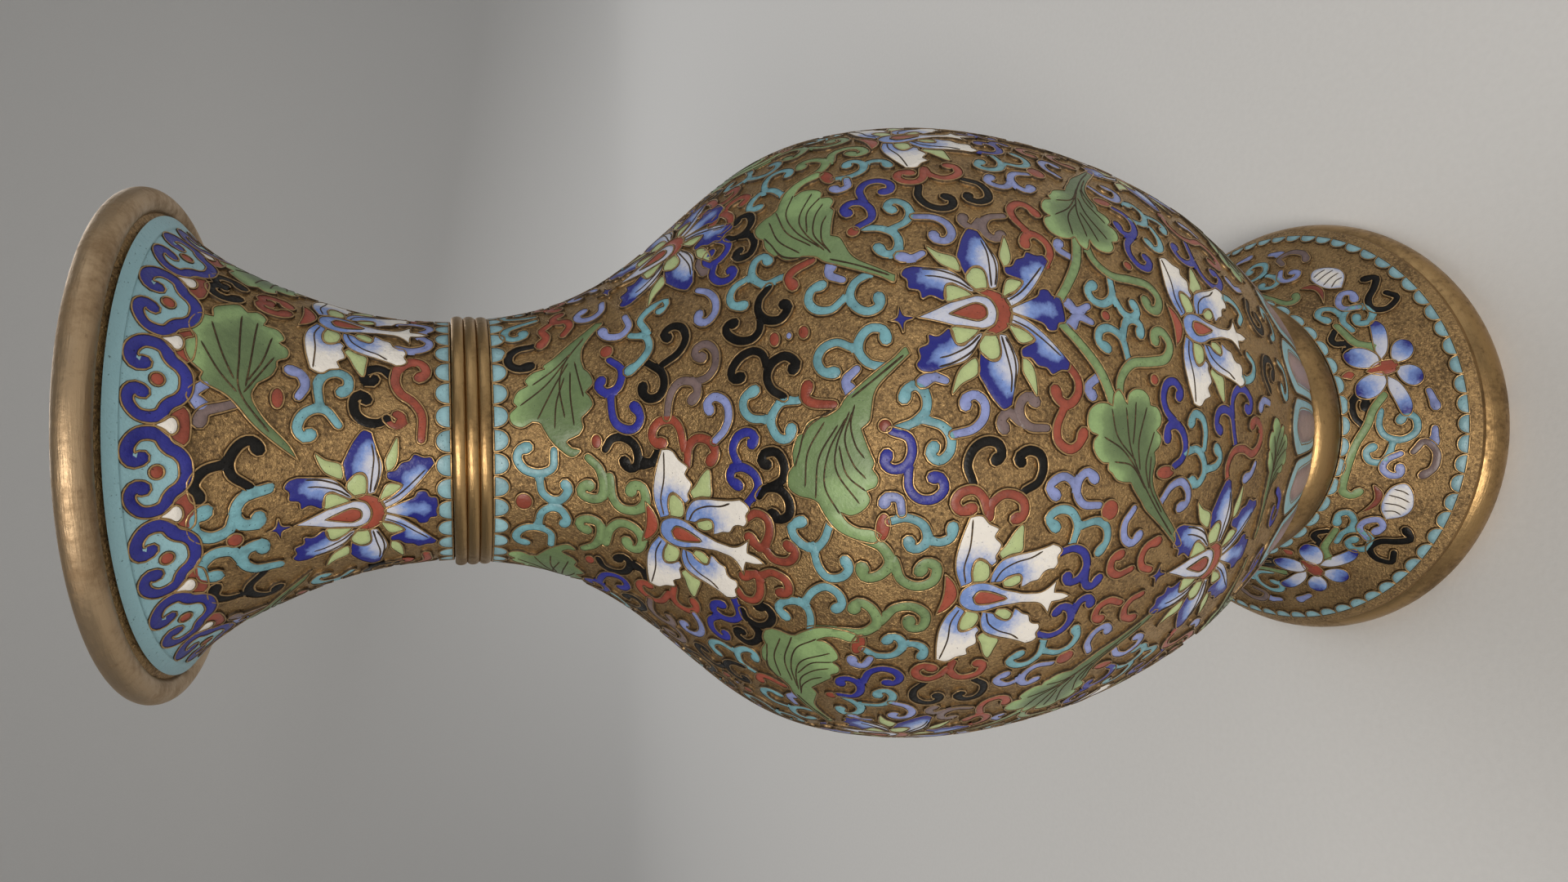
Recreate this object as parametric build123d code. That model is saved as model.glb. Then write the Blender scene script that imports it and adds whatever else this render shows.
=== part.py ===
"""Cloisonne vase: copper shells, brass mounts, counter-enamel linings and raised enamel tiles.

The axis of the vase is Z, its foot stands on Z = 0 and the origin is the centre of the foot.
"""

from build123d import *
import os
from math import atan2, cos, pi, radians, sin

# ---------------------------------------------------------------- driving dimensions, mm
HEIGHT = 254.0
COPPER = 1.2
LINING = 0.5
ENAMEL = 0.7

RIM_RADIUS = 41.0
RIM_TUBE = 2.1
MOUTH_BAND_TOP = 249.6
MOUTH_BAND_BOTTOM = 248.3
COLLAR_TOP = 208.2
COLLAR_BOTTOM = 202.2
COLLAR_RADIUS = 22.4
COLLAR_RIDGES = 3
JOINT_HEIGHT = 205.2
SPIGOT_RADIUS = 19.9
SPIGOT_WALL = 0.9
SPIGOT_BOTTOM = 196.5
SPIGOT_TOP = 206.4
BELLY_SEAM = 118.0
WAIST_TOP = 34.0
WAIST_BOTTOM = 26.0
WAIST_RADIUS = 33.6
BODY_BOTTOM = 29.0
BASE_RADIUS = 28.6
FOOT_RIM_TOP = 8.6
FOOT_RIM_RADIUS = 51.6
FOOT_RIM_WIDTH = 6.4
FOOT_RIM_ROUND = 1.6

# Radius and height of the gilt ground, from the bottom of each shell to its top.
FOOT_OUTLINE = [
    (50.0, 8.0), (48.2, 9.8), (43.6, 13.0), (38.8, 17.0), (34.7, 21.5), (31.6, 26.0), (30.4, 29.0),
]
BODY_OUTLINE = [
    (27.9, 29.0), (31.6, 34.0), (38.7, 43.5), (46.4, 56.7), (53.1, 69.9), (57.4, 83.0),
    (60.3, 96.2), (61.8, 109.4), (61.8, 122.6), (59.8, 135.7), (55.2, 148.9), (45.5, 162.1),
    (33.5, 175.3), (25.2, 188.4), (21.6, 201.6), (21.2, 205.2),
]
NECK_OUTLINE = [
    (20.9, 205.2), (20.8, 210.0), (21.2, 217.8), (22.4, 224.6), (24.6, 231.5), (27.4, 238.3),
    (31.3, 245.1), (36.4, 250.2), (39.4, 252.2),
]

# Heights of the flower rows, and the angles at which their first flowers stand.
NECK_ROW = 222.0
SHOULDER_ROW = 172.0
BELLY_ROW = 132.0
LOWER_ROW = 89.0
FOOT_ROW = 17.0
FIRST_FLOWER = -24.0
BUD_HEIGHT = 15.5
FOOT_FLOWER = 19.0
FOOT_BUD = -25.0
FOOT_REPEATS = 4

RUYI_COUNT = 16
RUYI_HEIGHT = 245.6
RUYI_EDGE = 0.8
DROP_RADIUS = 0.6
DROP_HEIGHT = 243.8
NECK_SCALLOPS = 34
SHOULDER_SCALLOPS = 36
FOOT_TOP_SCALLOPS = 44
FOOT_LOW_SCALLOPS = 72
SCALLOP_FILL = 0.9
LAPPETS = 24
LAPPET_BASE = 37.5
LAPPET_LENGTH = 21.0
FULL_TURN = 360.0


# ---------------------------------------------------------------- surfaces of revolution
def section_edge(outline, distance):
    """The outline, moved along its normals, as a spline in the XZ plane; plus is outwards."""
    curve = Spline(*[(r, 0, z) for r, z in outline])
    if not distance:
        return curve
    moved = []
    for r, z in outline:
        along = curve % curve.param_at_point((r, 0, z))
        moved.append((r + distance * along.Z, 0, z - distance * along.X))
    return Spline(*moved)


def spun(edges):
    """Turns a closed section in the XZ plane about Z."""
    return revolve(make_face(Wire(edges)), Axis.Z)


def layer(outline, inner, outer):
    """A shell that lies between two offsets of an outline."""
    near = section_edge(outline, inner)
    far = section_edge(outline, outer)
    return spun([near, Line(near @ 1, far @ 1), far, Line(far @ 0, near @ 0)])


def ring(*points):
    """A ring whose section is a polygon of (radius, height) points."""
    return spun(Polyline(*[(r, 0, z) for r, z in points], close=True).edges())


def bead(radius, height, wide, tall):
    """A ring whose section is an ellipse."""
    return revolve(Plane.XZ * Pos(radius, height) * Ellipse(wide, tall), Axis.Z)


def between(solid, low, high):
    """The part of a solid from one height to another."""
    above = split(solid, bisect_by=Plane.XY.offset(low), keep=Keep.TOP)
    return split(above, bisect_by=Plane.XY.offset(high), keep=Keep.BOTTOM)


def radius_at(outline, height):
    """Radius of an outline at a height, by straight runs between its points."""
    for (r0, z0), (r1, z1) in zip(outline, outline[1:]):
        if min(z0, z1) <= height <= max(z0, z1):
            return r0 + (r1 - r0) * (height - z0) / (z1 - z0)
    raise ValueError(f"height {height} is off the outline")


def lean_at(outline, height):
    """Angle of the outline from the vertical at a height, in radians; plus leans outwards."""
    low = max(height - 1.0, outline[0][1])
    high = min(height + 1.0, outline[-1][1])
    return atan2(radius_at(outline, high) - radius_at(outline, low), high - low)


# ---------------------------------------------------------------- metal and linings
def mouth_rim():
    """A rounded brass band that is rolled over the neck's edge."""
    band = bead(RIM_RADIUS - RIM_TUBE, HEIGHT - RIM_TUBE, RIM_TUBE, RIM_TUBE)
    return band - layer(NECK_OUTLINE, -COPPER, 0)


def neck_shell():
    """The flared neck, with a spigot that stands in the mouth of the body."""
    spigot = ring(
        (SPIGOT_RADIUS - SPIGOT_WALL, SPIGOT_BOTTOM), (SPIGOT_RADIUS, SPIGOT_BOTTOM),
        (SPIGOT_RADIUS, SPIGOT_TOP), (SPIGOT_RADIUS - SPIGOT_WALL, SPIGOT_TOP),
    )
    return layer(NECK_OUTLINE, -COPPER, 0) + spigot


def neck_lining():
    """Counter-enamel inside the neck, from the spigot to the rolled rim."""
    return between(layer(NECK_OUTLINE, -COPPER - LINING, -COPPER), SPIGOT_TOP, MOUTH_BAND_BOTTOM)


def neck_collar():
    """A brass collar with rounded ridges, over the joint of neck and body."""
    bore = 17.0
    wall = COLLAR_RADIUS - 0.6
    solid = ring((bore, COLLAR_BOTTOM), (wall, COLLAR_BOTTOM), (wall, COLLAR_TOP), (bore, COLLAR_TOP))
    pitch = (COLLAR_TOP - COLLAR_BOTTOM) / COLLAR_RIDGES
    for index in range(COLLAR_RIDGES):
        solid += bead(wall, COLLAR_BOTTOM + pitch * (index + 0.5), 0.6, pitch / 2)
    core = Pos(0, 0, (COLLAR_TOP + COLLAR_BOTTOM) / 2) * Cylinder(NECK_OUTLINE[0][0], COLLAR_TOP)
    return solid - core - layer(NECK_OUTLINE, -COPPER, 0) - layer(BODY_OUTLINE, -COPPER, 0)


def body_shell(low, high):
    """One raised section of the copper body."""
    return between(layer(BODY_OUTLINE, -COPPER, 0), low, high)


def body_lining():
    """Counter-enamel inside the body, below the neck's spigot."""
    lining = layer(BODY_OUTLINE, -COPPER - LINING, -COPPER)
    return between(lining, BODY_BOTTOM + 0.6, SPIGOT_BOTTOM - 0.3)


def waist_ring():
    """A half-round brass ring soldered where the body meets the foot."""
    half = (WAIST_TOP - WAIST_BOTTOM) / 2
    inner = BODY_OUTLINE[0][0]
    face = WAIST_RADIUS - half / 2
    solid = ring((inner, WAIST_BOTTOM), (face, WAIST_BOTTOM), (face, WAIST_TOP), (inner, WAIST_TOP))
    solid += bead(face, WAIST_BOTTOM + half, half / 2, half)
    under_body = layer(BODY_OUTLINE, -COPPER * 4, 0)
    over_foot = layer(FOOT_OUTLINE, -COPPER * 4, 0)
    return solid - under_body - over_foot


def foot_rim():
    """The brass rim that the vase stands on, rounded outside and bevelled on top."""
    inner = FOOT_RIM_RADIUS - FOOT_RIM_WIDTH
    shoulder = FOOT_RIM_TOP - FOOT_RIM_ROUND
    corner = FOOT_RIM_RADIUS - FOOT_RIM_ROUND
    return spun([
        Line((inner, 0, 0), (corner, 0, 0)),
        ThreePointArc((corner, 0, 0), (FOOT_RIM_RADIUS, 0, shoulder / 2), (corner, 0, shoulder)),
        Line((corner, 0, shoulder), (corner, 0, FOOT_RIM_TOP)),
        Line((corner, 0, FOOT_RIM_TOP), (inner, 0, FOOT_RIM_TOP)),
        Line((inner, 0, FOOT_RIM_TOP), (inner, 0, 0)),
    ]) - layer(FOOT_OUTLINE, -COPPER, ENAMEL)


def foot_lining():
    """Counter-enamel inside the foot, from the brass rim to the base."""
    lining = layer(FOOT_OUTLINE, -COPPER - LINING, -COPPER)
    return between(lining, FOOT_RIM_TOP, BODY_BOTTOM - COPPER - LINING)


def disc(top, thickness):
    """A plate across the bottom of the body."""
    return Pos(0, 0, top - thickness / 2) * Cylinder(BASE_RADIUS, thickness)


# ---------------------------------------------------------------- flat outlines of the enamel cells
def petal(root, tip, width):
    """A pointed petal between two points, as wide as given at its middle."""
    start, end = Vector(*root), Vector(*tip)
    middle = (start + end) / 2
    across = (end - start).normalized().rotate(Axis.Z, 90) * (width / 2)
    sides = [ThreePointArc(start, middle + across, end), ThreePointArc(end, middle - across, start)]
    return make_face(Wire(sides))


def mirrored_petals(shapes):
    """Petals given for one side of a flower, with their mirror images."""
    faces = []
    for (x0, y0), (x1, y1), width in shapes:
        faces.append(petal((x0, y0), (x1, y1), width))
        faces.append(petal((-x0, y0), (-x1, y1), width))
    return faces


def lotus():
    """The blue lotus: three pairs of petals and one that hangs."""
    pairs = [((2.6, 1.2), (6.4, 11.5), 4.4), ((3.0, 0.4), (14.0, 3.4), 4.8), ((2.4, -3.0), (9.4, -10.6), 5.2)]
    return mirrored_petals(pairs) + [petal((0, -4.2), (0, -11.2), 6.4)]


def butterfly_flower():
    """The white flower: two wings that spread and two that hang."""
    pairs = [((2.4, 2.2), (12.6, 3.4), 5.2), ((2.6, -1.0), (6.4, -9.4), 4.4)]
    return mirrored_petals(pairs)


def sepals():
    """Green sepals that show between the petals."""
    return mirrored_petals([((6.6, -0.9), (11.6, -1.9), 2.0), ((4.7, 5.6), (8.8, 8.2), 1.2)])


def heart(length=5.4, width=2.4):
    """The red drop in the middle of a flower."""
    return [petal((0, -length * 0.4), (0, length * 0.6), width)]


def small_flower():
    """The six-petalled flower of the foot."""
    pairs = [((0.9, 0.9), (3.4, 4.4), 2.8), ((1.2, -0.2), (7.0, -1.6), 2.6), ((0.7, -1.4), (1.9, -4.2), 2.0)]
    return mirrored_petals(pairs)


def bud():
    """A striped white bud."""
    return [Pos(x, 0) * Circle(1.35) for x in (-3.0, 0.0, 3.0)]


def leaf(length, lobes=3):
    """An acanthus leaf along +X: a pointed blade whose upper edge is lobed."""
    blade = petal((0, 0), (length, 0), length * 0.36)
    for index in range(lobes):
        along = length * (0.34 + 0.2 * index)
        blade += Pos(along, length * 0.12) * Circle(length * 0.115)
    return blade.faces()


def hook(radius=2.6, width=1.3, sweep=230.0):
    """A scroll: a thick arc that ends in a round bulb."""
    inner = radius - width
    ends = [(r * cos(radians(sweep)), r * sin(radians(sweep))) for r in (radius, inner)]
    arc = make_face(Wire([
        CenterArc((0, 0), radius, 0, sweep), Line(ends[0], ends[1]),
        CenterArc((0, 0), inner, 0, sweep), Line((inner, 0), (radius, 0)),
    ]))
    return (arc + Pos(radius - width * 0.55, 0) * Circle(width * 0.8)).faces()


def half_disc(width, height):
    """A scallop that stands on its straight side."""
    half = width / 2
    return [make_face(Wire([Line((-half, 0), (half, 0)), ThreePointArc((half, 0), (0, height), (-half, 0))]))]


def lappet(wide, narrow, length):
    """A petal of the band round the foot of the body, rounded at its top."""
    shoulder = length - wide / 2
    half, base = wide / 2, narrow / 2
    return [make_face(Wire([
        Line((-base, 0), (base, 0)), Line((base, 0), (half, shoulder)),
        ThreePointArc((half, shoulder), (0, length), (-half, shoulder)), Line((-half, shoulder), (-base, 0)),
    ]))]


def ruyi_head(grow=0.0):
    """The cloud head of the mouth border: two side lobes and a middle one."""
    head = Pos(0, -0.5) * Circle(2.1 + grow)
    for x in (-3.1, 3.1):
        head += Pos(x, 0.4) * Circle(1.9 + grow)
    return head.faces()


# ---------------------------------------------------------------- laying cells on the vase
OUTLINES = {"neck": NECK_OUTLINE, "body": BODY_OUTLINE, "foot": FOOT_OUTLINE}
SKINS = {zone: layer(outline, 0, ENAMEL) for zone, outline in OUTLINES.items()}
PRISM_REACH = 9.0


def laid(zone, angle, height, faces, turn=0.0):
    """Cuts flat outlines out of a zone's enamel layer, at an angle from the front and a height."""
    around = radians(angle - 90.0)
    lean = lean_at(OUTLINES[zone], height)
    out = Vector(cos(around), sin(around), 0)
    place = Plane(
        origin=out * radius_at(OUTLINES[zone], height) + Vector(0, 0, height),
        x_dir=(-sin(around), cos(around), 0),
        z_dir=out * cos(lean) - Vector(0, 0, sin(lean)),
    )
    solids = []
    for face in faces:
        prism = extrude(place * Rot(0, 0, turn) * face, amount=PRISM_REACH, both=True)
        solids += (prism & SKINS[zone]).solids()
    return solids


def repeated(solids, count):
    """Copies of solids, spaced evenly round the vase."""
    return [Rot(0, 0, FULL_TURN / count * k) * solid for k in range(count) for solid in solids]


def scallop_row(zone, height, count, tall, turn=0.0):
    """A row of half discs whose straight sides lie on one height."""
    wide = 2 * pi * radius_at(OUTLINES[zone], height) / count * SCALLOP_FILL
    return repeated(laid(zone, 0, height, half_disc(wide, tall), turn), count)


def lappet_row():
    """The petal band round the foot of the body."""
    pitch = 2 * pi / LAPPETS * SCALLOP_FILL
    narrow = pitch * radius_at(BODY_OUTLINE, LAPPET_BASE)
    wide = pitch * radius_at(BODY_OUTLINE, LAPPET_BASE + LAPPET_LENGTH * 0.7)
    return repeated(laid("body", 0, LAPPET_BASE, lappet(wide, narrow, LAPPET_LENGTH)), LAPPETS)


# Each flower row: zone, height, repeats of each kind, first lotus angle, first white flower angle.
FLOWER_ROWS = {
    "neck": ("neck", NECK_ROW, 2, FIRST_FLOWER - 5, FIRST_FLOWER + 85),
    "shoulder": ("body", SHOULDER_ROW, 2, FIRST_FLOWER + 90, FIRST_FLOWER),
    "belly": ("body", BELLY_ROW, 4, FIRST_FLOWER + 45, FIRST_FLOWER),
    "lower": ("body", LOWER_ROW, 4, FIRST_FLOWER, FIRST_FLOWER + 45),
}

# Each leaf: zone, repeats, angle and height of its stem end, length, turn.
LEAVES = {
    "neck_leaves": [("neck", 4, 4, 232, 15, 30)],
    "shoulder_leaves": [("body", 4, -2, 190, 15, 15)],
    "belly_leaves": [("body", 8, 6, 148, 15, 160), ("body", 8, 12, 116, 15, 200)],
    "lower_leaves": [("body", 8, -4, 64, 10, 100)],
}

# Each scroll: zone, repeats, angle, height, turn.
SCROLLS = {
    "turquoise_scrolls": [
        ("neck", 4, -38, 238, 60), ("neck", 4, -20, 238, 20), ("neck", 4, 12, 227, 200),
        ("body", 4, -40, 195, 30), ("body", 4, -14, 195, 150), ("body", 4, 30, 179, 40),
        ("body", 8, -6, 162, 120), ("body", 8, -33, 154, 60), ("body", 8, -13, 143, 30),
        ("body", 8, -34, 119, 300), ("body", 8, 18, 110, 90), ("body", 8, -4, 95, 20),
        ("foot", 4, -12, 19, 40), ("foot", 4, 0, 16, 0),
    ],
    "cobalt_scrolls": [
        ("body", 4, 8, 183, 60), ("body", 4, 20, 184, 240), ("body", 8, -4, 142, 150),
        ("body", 8, -20, 117, 200), ("body", 8, 0, 101, 90), ("body", 8, 4, 83, 30),
    ],
    "black_scrolls": [
        ("neck", 4, -6, 238, 80), ("body", 4, -47, 182, 140), ("body", 4, -4, 182, 200),
        ("body", 4, 12, 163, 100), ("body", 4, 26, 163, 280), ("body", 8, -2, 130, 300),
        ("foot", 4, 8, 21, 60), ("foot", 4, -34, 13.5, 210),
    ],
    "lavender_scrolls": [
        ("neck", 4, 24, 230, 190), ("body", 4, 5, 171, 180), ("body", 4, 40, 182, 60),
        ("body", 8, -7, 120, 120), ("body", 8, -11, 99, 250),
    ],
    "red_scrolls": [
        ("neck", 4, 28, 215, 40), ("body", 4, 8, 175, 320), ("body", 8, 3, 122, 30),
        ("body", 8, -5, 84, 270), ("foot", 4, -26, 20, 90),
    ],
    "vine_scrolls": [
        ("body", 4, -33, 187, 200), ("body", 4, -21, 187, 320), ("body", 8, -30, 148, 200),
        ("body", 8, -20, 148, 320), ("foot", 4, -20, 21, 30),
    ],
}

# Each berry: zone, repeats, angle, height.
BERRIES = [
    ("neck", 4, -29, 239.5), ("body", 4, -26, 198), ("body", 4, 31, 186), ("body", 8, 6, 138),
    ("body", 8, -11, 112), ("body", 8, 20, 104),
]
BERRY_RADIUS = 1.1


def flower_nodes():
    """Petals, sepals and hearts of every flower row, by node name."""
    nodes = {"flower_sepals": [], "flower_hearts": []}
    for row, (zone, height, count, lotus_angle, white_angle) in FLOWER_ROWS.items():
        nodes[f"{row}_lotus_petals"] = repeated(laid(zone, lotus_angle, height, lotus()), count)
        white = laid(zone, white_angle, height, butterfly_flower())
        nodes[f"{row}_white_petals"] = repeated(white, count)
        for angle in (lotus_angle, white_angle):
            nodes["flower_sepals"] += repeated(laid(zone, angle, height, sepals()), count)
            nodes["flower_hearts"] += repeated(laid(zone, angle, height, heart()), count)
    return nodes


def foot_nodes():
    """Flowers and buds of the foot, by node name."""
    return {
        "foot_flower_petals": repeated(laid("foot", FOOT_FLOWER, FOOT_ROW, small_flower()), FOOT_REPEATS),
        "foot_flower_hearts": repeated(laid("foot", FOOT_FLOWER, FOOT_ROW, heart(3.2, 1.5)), FOOT_REPEATS),
        "foot_buds": repeated(laid("foot", FOOT_BUD, BUD_HEIGHT, bud()), FOOT_REPEATS),
    }


def mouth_nodes():
    """The border under the mouth: a band, cloud heads, their outlines, and drops between them."""
    fill = Sketch() + ruyi_head()
    outline = (Sketch() + ruyi_head(RUYI_EDGE) - fill).faces()
    drop = [Circle(DROP_RADIUS).face()]
    between_heads = FULL_TURN / RUYI_COUNT / 2
    return {
        "mouth_band": [between(SKINS["neck"], MOUTH_BAND_BOTTOM, MOUTH_BAND_TOP)],
        "ruyi_heads": repeated(laid("neck", 0, RUYI_HEIGHT, fill.faces()), RUYI_COUNT),
        "ruyi_outlines": repeated(laid("neck", 0, RUYI_HEIGHT, outline), RUYI_COUNT),
        "border_drops": repeated(laid("neck", between_heads, DROP_HEIGHT, drop), RUYI_COUNT),
    }


def border_nodes():
    """Rows of scallops beside the brass rings, and the petal band."""
    return {
        "neck_scallops": scallop_row("neck", COLLAR_TOP + 0.2, NECK_SCALLOPS, 2.2),
        "shoulder_scallops": scallop_row("body", COLLAR_BOTTOM - 0.2, SHOULDER_SCALLOPS, 2.2, 180.0),
        "foot_top_scallops": scallop_row("foot", WAIST_BOTTOM - 0.4, FOOT_TOP_SCALLOPS, 1.8, 180.0),
        "foot_low_scallops": scallop_row("foot", FOOT_RIM_TOP + 0.4, FOOT_LOW_SCALLOPS, 1.9),
        "lappet_petals": lappet_row(),
    }


def scroll_nodes():
    """Scrolls by colour, leaves by row, and berries."""
    nodes = {}
    for name, scrolls in SCROLLS.items():
        laid_scrolls = [repeated(laid(z, a, h, hook(), turn), n) for z, n, a, h, turn in scrolls]
        nodes[name] = sum(laid_scrolls, [])
    for name, leaves in LEAVES.items():
        laid_leaves = [repeated(laid(z, a, h, leaf(size), turn), n) for z, n, a, h, size, turn in leaves]
        nodes[name] = sum(laid_leaves, [])
    dot = [Circle(BERRY_RADIUS).face()]
    nodes["berries"] = sum([repeated(laid(z, a, h, dot), n) for z, n, a, h in BERRIES], [])
    return nodes


def metal_nodes():
    """Shells, mounts and linings, one solid each."""
    return {
        "mouth_rim": [mouth_rim()],
        "neck_shell": [neck_shell()],
        "neck_lining": [neck_lining()],
        "neck_collar": [neck_collar()],
        "upper_body_shell": [body_shell(BELLY_SEAM, JOINT_HEIGHT)],
        "lower_body_shell": [body_shell(BODY_BOTTOM, BELLY_SEAM)],
        "body_lining": [body_lining()],
        "waist_ring": [waist_ring()],
        "base_plate": [disc(BODY_BOTTOM, COPPER)],
        "base_enamel": [disc(BODY_BOTTOM - COPPER, LINING)],
        "foot_shell": [layer(FOOT_OUTLINE, -COPPER, 0)],
        "foot_lining": [foot_lining()],
        "foot_rim": [foot_rim()],
    }


def write(name, solids):
    """Writes one node, as one solid or as a group of separate solids."""
    shape = solids[0] if len(solids) == 1 else Compound(children=solids)
    export_step(shape, f"parts/{name}.step")


os.makedirs("parts", exist_ok=True)
ALL_NODES = metal_nodes() | mouth_nodes() | border_nodes() | flower_nodes() | foot_nodes() | scroll_nodes()
for node, pieces in ALL_NODES.items():
    write(node, pieces)
print(len(ALL_NODES), "nodes,", sum(len(pieces) for pieces in ALL_NODES.values()), "solids")
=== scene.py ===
import math

import bpy
import numpy as np
from mathutils import Matrix, Vector
from mathutils.geometry import delaunay_2d_cdt


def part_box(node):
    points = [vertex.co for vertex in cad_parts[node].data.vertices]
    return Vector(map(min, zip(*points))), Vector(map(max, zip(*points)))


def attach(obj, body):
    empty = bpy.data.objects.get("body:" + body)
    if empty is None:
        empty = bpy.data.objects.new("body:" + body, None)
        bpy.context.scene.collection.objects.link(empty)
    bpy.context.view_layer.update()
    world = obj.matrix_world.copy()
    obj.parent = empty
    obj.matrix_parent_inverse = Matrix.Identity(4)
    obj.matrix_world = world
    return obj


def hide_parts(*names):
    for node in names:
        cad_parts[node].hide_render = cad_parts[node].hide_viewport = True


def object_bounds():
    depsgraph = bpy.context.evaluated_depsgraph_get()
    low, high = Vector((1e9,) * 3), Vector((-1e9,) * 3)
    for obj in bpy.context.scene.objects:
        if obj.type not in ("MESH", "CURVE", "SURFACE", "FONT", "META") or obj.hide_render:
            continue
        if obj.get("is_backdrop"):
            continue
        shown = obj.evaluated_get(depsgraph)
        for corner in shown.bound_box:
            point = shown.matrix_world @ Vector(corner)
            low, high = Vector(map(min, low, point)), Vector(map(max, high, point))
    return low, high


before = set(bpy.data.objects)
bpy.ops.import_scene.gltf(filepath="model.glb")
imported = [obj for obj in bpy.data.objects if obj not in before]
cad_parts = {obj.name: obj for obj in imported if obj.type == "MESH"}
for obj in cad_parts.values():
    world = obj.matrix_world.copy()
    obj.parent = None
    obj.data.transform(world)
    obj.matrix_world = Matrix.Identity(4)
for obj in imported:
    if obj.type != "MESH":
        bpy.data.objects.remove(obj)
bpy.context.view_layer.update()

bl_info = {
    "name": "Cloisonne vase",
    "version": (1, 0, 0),
    "blender": (4, 5, 0),
    "location": "View3D > Sidebar > Vase",
    "description": "Builds the enamel, wires and finishes of a cloisonne vase round its metal frame",
    "category": "Object",
}

MM = 0.001
FULL_TURN = 360.0
EIGHTH, QUARTER = FULL_TURN / 8, FULL_TURN / 4

# ---------------------------------------------------------------- the vase's surface
class Zone:
    """The gilt ground of one zone, a surface of revolution measured on its CAD shells.

    The hand-laid design crowds towards an angle, the zone's centre: crowd holds (height, degrees)
    pairs, and first is the angle of the first flower axis of the evenly spaced design.
    """

    STEP = 0.5      # between the heights that are measured, mm
    SPAN = 5        # neighbours that a radius is averaged over
    ROUNDS = 5      # of the search for an even angle

    def __init__(self, *nodes, centre, crowd, first):
        self.centre, self.crowd, self.first = centre, np.array(crowd, float), first
        heights, radii = [], []
        for node in nodes:
            low, high = (corner.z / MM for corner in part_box(node))
            for z in np.arange(low + self.STEP, high, self.STEP):
                start = Vector((1.0, 0.0, z * MM))
                found, place, _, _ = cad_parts[node].ray_cast(start, Vector((-1.0, 0.0, 0.0)))
                if found:
                    heights.append(z)
                    radii.append(place.x / MM)
        order = np.argsort(heights)
        self.z, self.r = np.array(heights)[order], np.array(radii)[order]
        ends = self.r[:2].copy(), self.r[-2:].copy()
        self.r = np.convolve(self.r, np.ones(self.SPAN) / self.SPAN, "same")
        self.r[:2], self.r[-2:] = ends
        self.s = np.concatenate([[0.0], np.cumsum(np.hypot(np.diff(self.z), np.diff(self.r)))])
        slope = np.gradient(self.r, self.z)
        self.out = 1 / np.hypot(1, slope)
        self.up = -slope / np.hypot(1, slope)

    def radius(self, z):
        return np.interp(z, self.z, self.r)

    def along(self, z):
        """How far along the surface a height lies."""
        return np.interp(z, self.z, self.s)

    def wrap(self, flat, angle, height):
        """Lays (across, along, proud) points in mm on the surface, about an angle and a height."""
        along = self.along(height) + flat[:, 1]
        z = np.interp(along, self.s, self.z) + along - np.clip(along, self.s[0], self.s[-1])
        radius = self.radius(z)
        theta = math.radians(angle - QUARTER) + flat[:, 0] / radius
        reach = radius + flat[:, 2] * np.interp(z, self.z, self.out)
        rise = z + flat[:, 2] * np.interp(z, self.z, self.up)
        return np.stack([reach * np.cos(theta), reach * np.sin(theta), rise], 1) * MM

    def flat_about(self, points, angle, height):
        """(angle, height) points as flat mm about a place."""
        points = np.array(points, float)
        across = np.radians(points[:, 0] - angle) * self.radius(points[:, 1])
        return np.column_stack([across, self.along(points[:, 1]) - self.along(height)])

    def flatten(self, points):
        """(angle, height) points as flat mm about their own middle: (angle, height, flat points)."""
        points = np.array(points, float)
        angle, height = ((points.min(0) + points.max(0)) / 2).tolist()
        return angle, height, self.flat_about(points, angle, height)

    def traced(self, flat, angle, height):
        """Flat (across, along) points about a place as (degrees, mm along) on the surface."""
        along = self.along(height) + flat[:, 1]
        radius = self.radius(np.interp(along, self.s, self.z))
        return np.column_stack([angle + np.degrees(flat[:, 0] / radius), along])

    def spacing(self, z):
        return float(np.interp(z, self.crowd[:, 0], self.crowd[:, 1]))

    def laid(self, even, z):
        """Where an angle of the even design lies on the vase."""
        return even - self.spacing(z) * math.sin(math.radians(even - self.centre))

    def even(self, angle, z):
        """The angle of the even design that lies at this one."""
        guess = angle
        for _ in range(self.ROUNDS):
            guess = angle + self.spacing(z) * math.sin(math.radians(guess - self.centre))
        return guess

    def copies(self, angle, z, cell, mirrored=True, on_axis=False):
        """(angle, mirrored) of a motif's copies in cells round the vase, every other one mirrored."""
        offset = self.even(angle, z) - self.first
        places = []
        for index in range(round(FULL_TURN / cell)):
            flip = mirrored and index % 2 == 1
            if flip and on_axis:
                continue
            even = self.first + (cell * (index + 1) - offset if flip else cell * index + offset)
            places.append((self.laid(even, z), flip))
        return places


BODY = Zone("lower_body_shell", "upper_body_shell", centre=-3.8, first=-26.3,
            crowd=[(89, 7.4), (132, 4.4), (165, 0.0)])
NECK = Zone("neck_shell", centre=15.0, first=-32.0, crowd=[(208, 3.0), (250, 3.0)])
FOOT = Zone("foot_shell", centre=-20.0, first=24.0, crowd=[(9, 7.0), (26, 7.0)])


# ---------------------------------------------------------------- flat shapes, mm
CURVE_STEP, SCROLL_STEP = 0.45, 0.55
CURVE_SAMPLES = 12


def lengths(path):
    """How far along a path each of its points lies."""
    return np.concatenate([[0], np.cumsum(np.linalg.norm(np.diff(path, axis=0), axis=1))])


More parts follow.
